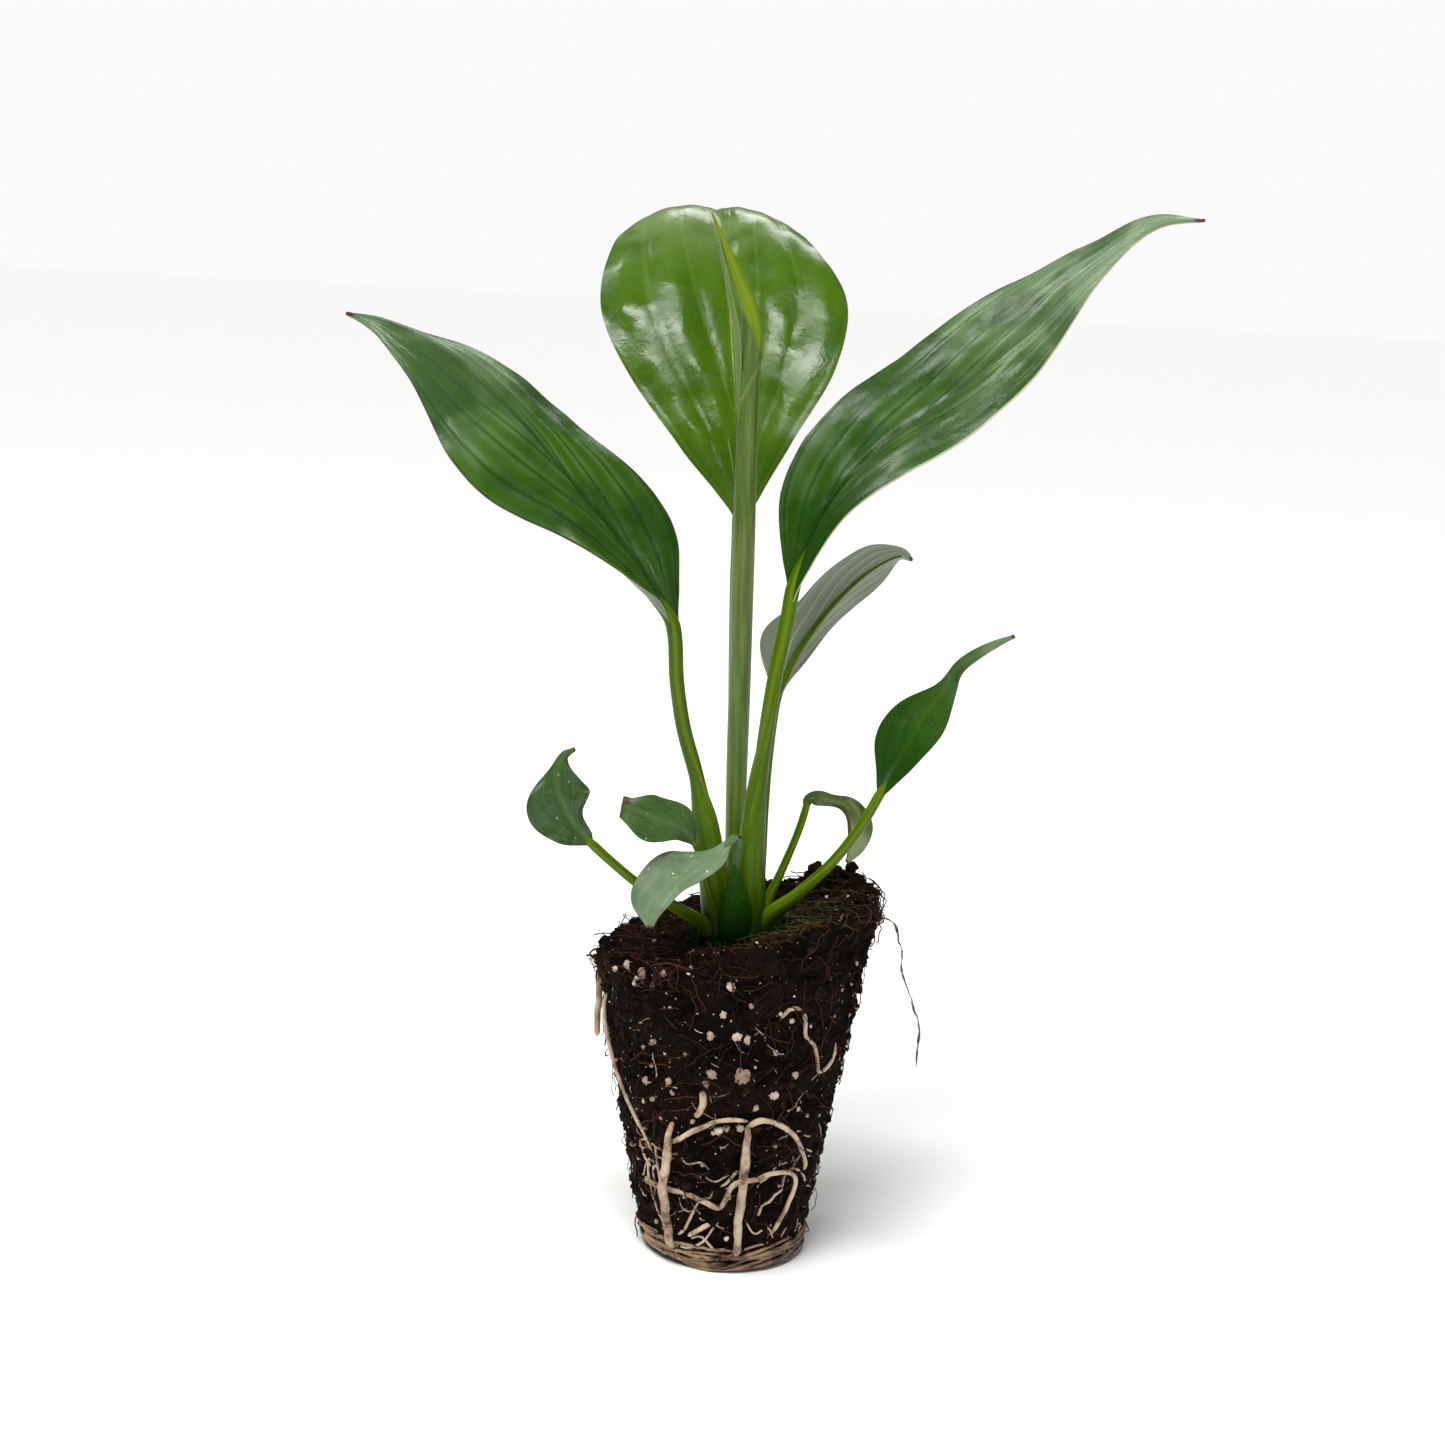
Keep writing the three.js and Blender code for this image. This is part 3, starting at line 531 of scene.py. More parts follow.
def ball(size, seed, squash, detail):
    """A small lump: an icosahedron, split detail times, with uneven corners."""
    g = (1 + 5**0.5) / 2
    corners = np.array([
        (-1, g, 0), (1, g, 0), (-1, -g, 0), (1, -g, 0), (0, -1, g), (0, 1, g),
        (0, -1, -g), (0, 1, -g), (g, 0, -1), (g, 0, 1), (-g, 0, -1), (-g, 0, 1),
    ], float)
    faces = [
        (0, 11, 5), (0, 5, 1), (0, 1, 7), (0, 7, 10), (0, 10, 11), (1, 5, 9), (5, 11, 4),
        (11, 10, 2), (10, 7, 6), (7, 1, 8), (3, 9, 4), (3, 4, 2), (3, 2, 6), (3, 6, 8),
        (3, 8, 9), (4, 9, 5), (2, 4, 11), (6, 2, 10), (8, 6, 7), (9, 8, 1),
    ]
    points = list(unit(corners))
    for _ in range(detail):
        halves, split = {}, []
        for a, b, c in faces:
            mids = []
            for pair in ((a, b), (b, c), (c, a)):
                key = tuple(sorted(pair))
                if key not in halves:
                    halves[key] = len(points)
                    points.append(unit(points[pair[0]] + points[pair[1]]))
                mids.append(halves[key])
            ab, bc, ca = mids
            split += [(a, ab, ca), (b, bc, ab), (c, ca, bc), (ab, bc, ca)]
        faces = split
    rng = np.random.default_rng(seed)
    points = np.array(points) * (1 + rng.uniform(-0.3, 0.24, (len(points), 1)))
    return points * squash * size, faces


def turned(points, rng):
    """Points turned about their centre by a random amount."""
    turn = rng.normal(size=4)
    w, x, y, z = turn / np.linalg.norm(turn)
    matrix = np.array([
        [1 - 2 * (y * y + z * z), 2 * (x * y - z * w), 2 * (x * z + y * w)],
        [2 * (x * y + z * w), 1 - 2 * (x * x + z * z), 2 * (y * z - x * w)],
        [2 * (x * z - y * w), 2 * (y * z + x * w), 1 - 2 * (x * x + y * y)],
    ])
    return points @ matrix.T


def lump(rng, size, low, high, detail=1):
    """An uneven lump about the origin, squashed by low to high and turned at random."""
    points, faces = ball(size, rng.integers(1 << 30), rng.uniform(low, high, 3), detail)
    return turned(points, rng), faces


def on_side(bearing_deg, height):
    """A point of the peat's side and the direction it faces."""
    point = beside_plug(bearing_deg, height, 0.0)
    facing = unit(np.array([point[0], point[1], 0.0]))
    return point + facing * lumps(point[None])[0], facing


def on_top(x, y):
    """A point of the peat's top and the direction it faces."""
    point = np.array([x, y, soil_height(x, y)])
    return point + np.array([0, 0, lumps(point[None])[0]]), np.array([0.0, 0.0, 1.0])


def scatter(rng, count, top_share, lowest=1.5):
    """Random places on the plug's side and top, away from the crown."""
    for _ in range(count):
        if rng.random() < top_share:
            bearing = rng.uniform(0, 2 * math.pi)
            radius = PLUG_TOP_RADIUS * rng.uniform(0.28, 0.98) ** 0.5
            yield on_top(radius * math.cos(bearing), radius * math.sin(bearing))
        else:
            bearing = rng.uniform(-180, 180)
            rim = PLUG_HEIGHT + rim_rise(math.radians(bearing))
            height = lowest + (rim - lowest) * rng.random() ** 0.8
            yield on_side(bearing, height)


# The middle of the loose peat heaped at the back right of the rim, and how far it spreads.
MOUND, MOUND_SPREAD = (14.2, 11.0, 56.6), (2.0, 1.6, 0.9)

# Where the peat breaks away at the rim, as (bearing, height, radius).
RIM_LUMPS = [
    (-168, 43.6, 1.7), (-160, 44.6, 1.3), (-150, 45.2, 1.5), (-140, 46, 1.2), (-128, 46.8, 1.3),
    (-114, 48.4, 1.1), (172, 43.8, 1.4), (20, 56.6, 1.8), (30, 56, 1.6), (42, 55.4, 1.7),
    (54, 54.6, 1.3), (8, 56.6, 1.3), (-8, 56.4, 1.2), (-30, 55, 1.3), (-52, 53.2, 1.1),
]


CRUMBS, CRUMBS_IN_LUMP, MOUND_CRUMBS = 1500, 5, 70


def add_crumbs():
    rng = np.random.default_rng(11)
    batch = Batch()
    for place, facing in scatter(rng, CRUMBS, 0.3):
        size = rng.uniform(0.22, 0.75)
        points, faces = lump(rng, size, 0.6, 1.2)
        batch.add(points + place - facing * size * 0.25, faces, rng.random() ** 2)
    for bearing, height, size in RIM_LUMPS:
        place = beside_plug(bearing, height, -1.2)
        for _ in range(CRUMBS_IN_LUMP):
            points, faces = lump(rng, size * rng.uniform(0.5, 0.9), 0.7, 1.1)
            batch.add(points + place + rng.normal(0, size * 0.45, 3), faces, rng.random() ** 2)
    for _ in range(MOUND_CRUMBS):
        place = np.array(MOUND) + rng.normal(0, 1, 3) * MOUND_SPREAD
        points, faces = lump(rng, rng.uniform(0.5, 1.2), 0.7, 1.1)
        batch.add(points + place, faces, rng.random() ** 2)
    peat = tinted_finish(
        "crumb_finish", 0x0A0705, 0x2C1C11, 0.9, 0x46311F, 0.5, specular_ior_level=0.06
    )
    batch.piece("peat_crumbs", peat, "soil")


# The largest perlite granules, as (bearing, height, radius).
PERLITE = [
    (-85, 33.5, 1.35), (-100, 39.6, 0.75), (-88.5, 39.9, 0.85), (-84, 39.2, 0.7), (-99, 33.4, 0.8),
    (-102, 31.6, 0.6), (-68, 30, 0.75), (-77, 28, 0.6), (-95, 24.2, 0.75), (-91, 24.6, 0.55),
    (-84, 24.8, 0.75), (-92, 47.6, 0.75), (-122, 31, 0.8), (-119, 29.4, 0.7), (-95, 43.2, 0.6),
    (-83, 44.8, 0.55), (-70, 37, 0.5), (-58, 33, 0.6), (-52, 27, 0.5), (-128, 37, 0.55),
    (-135, 30, 0.6), (-112, 36, 0.5), (-64, 42, 0.45), (150, 34, 0.8), (120, 28, 0.7),
    (85, 36, 0.9), (-140, 48, 0.7), (-131, 47.6, 0.95), (-126, 46.2, 0.6), (-136, 45.6, 0.5),
    (-120, 48.6, 0.6), (-147, 46.8, 0.5), (60, 25, 0.7), (30, 38, 0.8), (5, 30, 0.6),
    (-20, 40, 0.7), (170, 22, 0.6), (100, 44, 0.7),
]


PERLITE_GRAINS, PERLITE_DUST = 190, 900


def add_perlite():
    rng = np.random.default_rng(5)
    batch = Batch()

    def granule(place, facing, size, detail):
        points, faces = lump(rng, size, 0.7, 1.15, detail)
        batch.add(points + place - facing * size * 0.2, faces, rng.random())

    for bearing, height, size in PERLITE:
        granule(*on_side(bearing, height), size, 2)
    for place, facing in scatter(rng, PERLITE_GRAINS, 0.22):
        granule(place, facing, rng.uniform(0.2, 0.5), 1)
    for place, facing in scatter(rng, PERLITE_DUST, 0.2):
        granule(place, facing, rng.uniform(0.07, 0.19), 0)
    stone = tinted_finish(
        "perlite_finish", 0x94796A, 0xDCC8B8, 0.8, 0x6A5446, 0.5, specular_ior_level=0.3
    )
    batch.piece("perlite", stone, "soil")


def fibre_line(rng, place, facing, length, lift):
    """A short wandering line that leaves the peat's surface and comes back to it."""
    along = unit(np.cross(facing, rng.normal(size=3)))
    bend = np.cross(facing, along) * rng.uniform(-0.5, 0.5)
    reach = np.linspace(-0.5, 0.5, 7)[:, None]
    line = place + along * reach * length + bend * length * (0.25 - reach**2)
    line = line + facing * lift * (1 - 3.2 * reach**2) + rng.normal(0, length * 0.025, (7, 3))
    line[:, 2] = np.maximum(line[:, 2], 0.25)
    return line


COIR_FIBRES, RIM_FIBRES, OLIVE_FIBRES, MOSS_SHOOTS = 900, 110, 190, 620


def add_fibres():
    rng = np.random.default_rng(23)
    coir, olive = Batch(), Batch()

    def fibre(batch, place, facing, lengths, lifts, thickest):
        line = fibre_line(rng, place, facing, rng.uniform(*lengths), rng.uniform(*lifts))
        batch.add(*sweep(line, 4, rng.uniform(0.05, thickest)), rng.random())

    for place, facing in scatter(rng, COIR_FIBRES, 0.35):
        fibre(coir, place, facing, (2.5, 8), (0.1, 0.7), 0.11)
    for _ in range(RIM_FIBRES):
        bearing = rng.choice([rng.uniform(-185, -110), rng.uniform(-40, 70)])
        rim = PLUG_HEIGHT + rim_rise(math.radians(bearing))
        place, facing = on_side(bearing, rim - rng.uniform(0, 3))
        facing = unit(facing + [0, 0, rng.uniform(-0.2, 0.9)])
        fibre(coir, place, facing, (2, 5), (0.5, 1.6), 0.1)
    for _ in range(OLIVE_FIBRES):
        bearing, radius = math.radians(rng.uniform(-75, 45)), rng.uniform(8, 19.5)
        place, facing = on_top(radius * math.cos(bearing), radius * math.sin(bearing))
        fibre(olive, place, facing, (3, 8), (0.2, 0.9), 0.1)
    brown = tinted_finish("coir_finish", 0x120B06, 0x482A18, 0.8, specular_ior_level=0.15)
    green = tinted_finish("olive_fibre_finish", 0x1E1D0C, 0x4E4A22, 0.8, specular_ior_level=0.15)
    coir.piece("coir_fibres", brown, "soil")
    olive.piece("olive_fibres", green, "soil")


def add_moss():
    rng = np.random.default_rng(31)
    batch = Batch()
    for _ in range(MOSS_SHOOTS):
        bearing = rng.uniform(-math.pi, math.pi)
        spread = 3.5 + 9.0 * max(math.cos(bearing + 0.7), 0.1)
        radius = CROWN_RADIUS * 0.9 + abs(rng.normal(0, 0.45)) * spread
        x = CROWN_CENTRE[0] + radius * math.cos(bearing)
        y = CROWN_CENTRE[1] + radius * math.sin(bearing)
        if math.hypot(x, y) > PLUG_TOP_RADIUS * 0.96:
            continue
        place, _ = on_top(x, y)
        lean = unit(np.array([rng.normal(0, 0.6), rng.normal(0, 0.6), 1.0]))
        length = rng.uniform(0.5, 1.5)
        line = place + np.outer([-0.3, 0.4, 0.8, 1.0], lean * length)
        line[2:] += rng.normal(0, 0.12, 3)
        radii = np.array([0.16, 0.2, 0.12, 0.02]) * rng.uniform(0.7, 1.3)
        batch.add(*sweep(line, 4, radii), rng.random())
    moss = tinted_finish(
        "moss_finish", 0x060D03, 0x1C3A0C, 0.85, 0x305214, 0.4, specular_ior_level=0.1
    )
    batch.piece("moss", moss, "soil")


# ---------------------------------------------------------------- roots

# The roots that circle the foot, as (name, height, first bearing, last bearing).
RING_ROOTS = [("lower_ring_root", 1.0, -200, 150), ("upper_ring_root", 2.9, -215, 90)]

# Each root's radius and its route of [bearing, height, lift], with lift over a thicker root.
ROOTS = {
    "left_main_root": (MAIN_ROOT_RADIUS, [
        [-120, 25], [-122, 19.6, 0.4], [-123, 15, 1.3], [-123.5, 12.4, 1.4], [-124, 9.5, 1.2],
        [-125, 4.4, 0.2], [-126, 2.4, 0.2],
    ]),
    "middle_main_root": (MAIN_ROOT_RADIUS, [
        [-80, 26], [-80, 19], [-80, 14], [-81, 9.5], [-80, 4.2], [-81, 2.4],
    ]),
    "left_arch_root": (SIDE_ROOT_RADIUS, [
        [-122, 21], [-116, 22], [-110, 23.4], [-102, 24.8], [-92, 26.2], [-80, 26],
    ]),
    "right_arch_root": (SIDE_ROOT_RADIUS, [
        [-81, 25], [-74, 26], [-64, 25.2], [-52, 22.6], [-42, 18.8], [-34, 15.4],
    ]),
    "cross_root": (SIDE_ROOT_RADIUS, [
        [-148, 13], [-137, 13], [-123.5, 13], [-112, 13], [-101, 12], [-93, 11.4],
        [-89, 13], [-86, 15.8, 1.5], [-80, 16.8, OVER], [-74, 16.8, 1.5], [-64, 16.8],
        [-50, 16.4], [-44, 14.6], [-47, 11], [-57, 5.4],
    ]),
    "stub_root": (0.6, [[-104, 30.4], [-103, 28.4], [-105, 26.9], [-108, 26]]),
    "slanting_root": (SIDE_ROOT_RADIUS, [[-97, 8.6], [-105, 7.2], [-113, 5.6]]),
    "upper_root": (FINE_ROOT_RADIUS, [
        [-70, 42], [-66, 44], [-60, 43.6], [-57, 41.8], [-56, 39.4], [-50, 37.6],
        [-46, 35.2], [-42, 32.6], [-35, 33], [-28, 36.4],
    ]),
    "left_fine_root": (FINE_ROOT_RADIUS, [
        [-166, 41, 0.2], [-166, 36, 0.6], [-163, 30.5, 0.4], [-154, 25.5], [-142, 21.6],
        [-134, 18],
    ]),
    "left_hanging_root": (0.6, [[178, 44, 0], [178, 40, 0.4], [179, 36, 1.2], [-178, 32.5, 1.8]]),
    "right_hanging_root": (FINE_ROOT_RADIUS, [
        [2, 52.6, 0.1], [2, 53.4, 1.8], [0, 52.4, 3.4], [-2, 48, 5], [-3, 43, 7.2],
        [-4, 38.6, 9.4], [-4, 34, 10.8], [-4, 30.4, 11],
    ]),
    "back_main_root": (MAIN_ROOT_RADIUS, [[96, 27], [98, 21], [97, 15], [99, 9.6], [98, 4.4]]),
    "back_right_root": (MAIN_ROOT_RADIUS, [[32, 22], [34, 16], [32, 10.6], [34, 4.4]]),
    "back_cross_root": (SIDE_ROOT_RADIUS, [
        [158, 16], [146, 18], [132, 16.6], [119, 14.6], [105, 15, 1.5], [97.5, 15.4, OVER],
        [90, 15.4, 1.5], [74, 17.4], [62, 19.6], [50, 18.8],
    ]),
    "back_upper_root": (FINE_ROOT_RADIUS, [
        [142, 40], [134, 38.6], [128, 35.2], [119, 34], [112, 30.8], [117, 27.6],
        [126, 26.2],
    ]),
}


# How far the visual roots stand out over the CAD's, so that the lumpy peat leaves them bare.
STAND_OUT = 0.28


def root_line(radius, route):
    off = ROOT_GAP + STAND_OUT + radius
    return Line([beside_plug(bearing, height, off + sum(lift)) for bearing, height, *lift in route])


# How deep a root's two ends go into the peat, in its own radii.
DEEP = (1.6, 1.6)


def root_mesh(
    line, radius, sides=10, taper=0.75, wobble=0.16, dive=DEEP, wander=0.25, top=1.0
):
    """A root: its radius swells and narrows, and each end may dive into the peat."""
    shares = np.linspace(0, 1, max(int(line.length / 0.45), 12))
    centres = line.at(shares)
    swell = 1 + wobble * fractal(centres, 1.7, 3, 6)
    ends = np.minimum(smoothstep(shares, -0.02, 0.05), smoothstep(1 - shares, -0.01, 0.06))
    slimmer = lerp(top, 1, smoothstep(shares, 0, 0.3))
    radii = radius * swell * lerp(1, taper, shares) * ends * slimmer
    sway = np.stack([fractal(centres, 2.5, 2, k) for k in (7, 8, 9)], -1)
    centres = centres + wander * radius * sway
    reach = 2.2 / line.length
    sunk = dive[0] * (1 - smoothstep(shares, 0, reach))
    sunk = sunk + dive[1] * (1 - smoothstep(1 - shares, 0, reach))
    inward = unit(centres * [-1, -1, 0])
    centres = centres + inward * (radius * sunk + 0.22 * (sum(dive) > 0))[:, None]
    return sweep(centres, sides, radii)


# The same for the roots that have an end nearer the surface.
DIVES = {
    "left_hanging_root": (1.6, 0),
    "left_arch_root": (0.2, 0.2),
    "right_arch_root": (0.2, 1.4),
    "slanting_root": (1.6, 0.3),
    "left_fine_root": (1.6, 0.4),
}


def add_roots():
    flesh = root_finish("root_finish", 0xCDB79C, 0x9A7A5C, 0x3A281B)
    dry = root_finish("dry_root_finish", 0x7A614C, 0x4A3626, 0x1E140D)
    for name, (radius, route) in ROOTS.items():
        is_dry = name == "right_hanging_root"
        line = root_line(radius, route)
        if is_dry:
            points, faces = root_mesh(line, radius * 0.6, 8, 0.6, 1.1, (1, 0), 2.2)
        else:
            top = 0.55 if radius == MAIN_ROOT_RADIUS else 1.0
            points, faces = root_mesh(line, radius, dive=DIVES.get(name, DEEP), top=top)
        slot = "dry_root" if is_dry else "root"
        add_piece(f"{name}_strand", points, faces, dry if is_dry else flesh, slot, [name])
    add_ring_roots()
    add_root_hairs(flesh)


# Side roots that leave the main roots near the foot, as (radius, [bearing, height]).
SIDE_ROOTS = [
    (0.38, [[-124, 5], [-116, 6.5], [-109, 10], [-103, 13.4]]),
    (0.34, [[-126, 4.4], [-116, 3.6], [-104, 4.8], [-95, 8]]),
    (0.3, [[-133, 20], [-131, 13], [-129, 8], [-126, 5]]),
    (0.3, [[-84, 4], [-94, 3.8], [-104, 6], [-112, 5]]),
    (0.26, [[-118, 20], [-112, 18], [-104, 18.6], [-98, 17]]),
    (0.24, [[-76, 9], [-68, 6.6], [-60, 7.4], [-52, 5]]),
    (0.3, [[-142, 16], [-138, 10], [-132, 6]]),
    (0.34, [[98, 6], [110, 8], [121, 12], [128, 16]]),
    (0.3, [[34, 7], [46, 5], [58, 8], [70, 7]]),
]
SIDE_ROOT_SIZE = 0.7  # what each of those radii is multiplied by
RING_HAIRS, ROOT_HAIRS, LOW_HAIRS = 22, 64, 46
RING_STRANDS = (0.5, 0.34, 0.26, 0.22)  # the radii of the strands in each root of the ring


def add_ring_roots():
    """The mat of thin roots packed round the foot of the plug."""
    finish = root_finish("ring_root_finish", 0x9C8060, 0x573F2A, 0x1C120B)
    rng = np.random.default_rng(43)
    for name, height, start, stop in RING_ROOTS:
        batch = Batch()
        for k, radius in enumerate(RING_STRANDS):
            bearings = np.linspace(start + 9 * k, stop - 13 * k, 70)
            twist = np.radians(bearings * (1.6 + 0.9 * k)) + k * 2.1
            heights = height + (0.3 + 0.32 * k) * np.sin(twist) + 0.3
            off = ROOT_GAP + RING_ROOT_RADIUS - 0.45 + 0.42 * np.cos(twist)
            line = Line(beside_plug(bearings, np.maximum(heights, radius + 0.1), off))
            batch.add(*root_mesh(line, radius))
        batch.piece(f"{name}_strands", finish, "root", [name])
    batch = Batch()
    for _ in range(RING_HAIRS):
        start, span = rng.uniform(-200, 120), rng.uniform(50, 170)
        bearings = np.linspace(start, start + span, 30)
        wander = np.cumsum(rng.normal(0, 0.16, 30))
        heights = np.clip(rng.uniform(0.8, 4.6) + wander, 0.5, 6)
        line = Line(beside_plug(bearings, heights, rng.uniform(0.4, 1.2)))
        batch.add(*root_mesh(line, rng.uniform(0.16, 0.34), 8, 0.8))
    batch.piece("ring_root_hairs", finish, "root")


def add_root_hairs(flesh):
    """Fine pale roots that wander over the plug's side, most of them near its foot."""
    rng = np.random.default_rng(77)
    batch = Batch()
    for radius, route in SIDE_ROOTS:
        radius *= SIDE_ROOT_SIZE
        batch.add(*root_mesh(root_line(radius, route), radius, 8))
    for i in range(ROOT_HAIRS):
        low = i < LOW_HAIRS
        bearing = rng.uniform(-180, 180)
        height = rng.uniform(3, 22) if low else rng.uniform(20, 44)
        heading = rng.uniform(0, 2 * math.pi)
        points = []
        for _ in range(rng.integers(8, 18)):
            heading += rng.normal(0, 0.45)
            bearing += 5.0 * math.cos(heading)
            height = float(np.clip(height + 1.2 * math.sin(heading), 1.2, 46))
            points.append(beside_plug(bearing, height, 0.55 + rng.uniform(-0.25, 0.35)))
        radius = rng.uniform(0.1, 0.28) if low else rng.uniform(0.07, 0.15)
        batch.add(*root_mesh(Line(points), radius, 6, 0.5, 0.25))
    batch.piece("fine_roots", flesh, "root")


# ---------------------------------------------------------------- leaves

# These looks paint sheen towards the tips, sheen on the folds beside the veins and shade towards
# each blade's base into the colour.
DARK = dict(
    deep=0x163C01, green=0x305604, light=0x446A0C, vein=0x1E3E0A, under=0x49652D,
    rib_colour=0x1C3A08, rim_colour=0x16280A, rough=0.26, gloss=0.4, veins=0.28, rim=0.6,
    stripe=0.2, rib=0.7, base=0.0, fold_sheen=0.3, shade=0.55, painted_sheen=0.45, painted_sheen_colour=0x7C9270,
)
YOUNG = dict(
    deep=0x335602, green=0x406304, light=0x53750B, vein=0x68831A, under=0x6F8737,
    rib_colour=0x607D18, rim_colour=0x3A5410, rough=0.2, gloss=0.5, veins=0.22, rim=0.5,
    stripe=0.22, rib=0.4, painted_sheen=0.5, painted_sheen_colour=0xA0AE86,
)
DULL = dict(
    deep=0x2E4920, green=0x3F5E2D, light=0x5D7944, vein=0x7A9160, under=0x5B6A47,
    rib_colour=0x617D3F, rim_colour=0x3C4A30, rough=0.36, gloss=0.4, veins=0.12, rim=0.4,
    rib=0.25, stripe=0.12, minor=0.0,
)


def leaf_shape(**own):
    """A leaf's own values over the plain ones.

    Its line is measured from the soil at the crown and runs from inside the crown to the tip.
    joint is the point of it where the petiole ends. The petiole's radius is sheath low down,
    less a share of it if it narrows, and it closes over a share of its length, up to
    sheath_end, to the radius stalk. wing is how far before the joint the blade starts, and
    hook gives the petiole's end the blade's colour. left and right are the blade's half widths
    from base to tip, faces the directions that its upper face looks in, folds its fold along
    the midrib and rolls how each half turns up or down. veins rise from each side of the
    midrib, lean is how far along the blade one travels on its way to the margin, and quilt how
    far the blade stands up between two, as far as smooth_from. wave is the margin's own
    (height, waves, start), and curl lifts the left margin near the base. The tip is brown, as
    well as the right margin or the cut end where dry says so, unless dry is never.
    """
    plain = dict(
        closes_over=0.35, narrows=0.0, wing=None, hook=0.0, folds=[0.4, 0.2, 0.1],
        rolls=[-0.3, -0.3], smooth_from=0.85, curl=0.0, dry="tip", slot="dull_leaf",
    )
    return {**plain, **own}


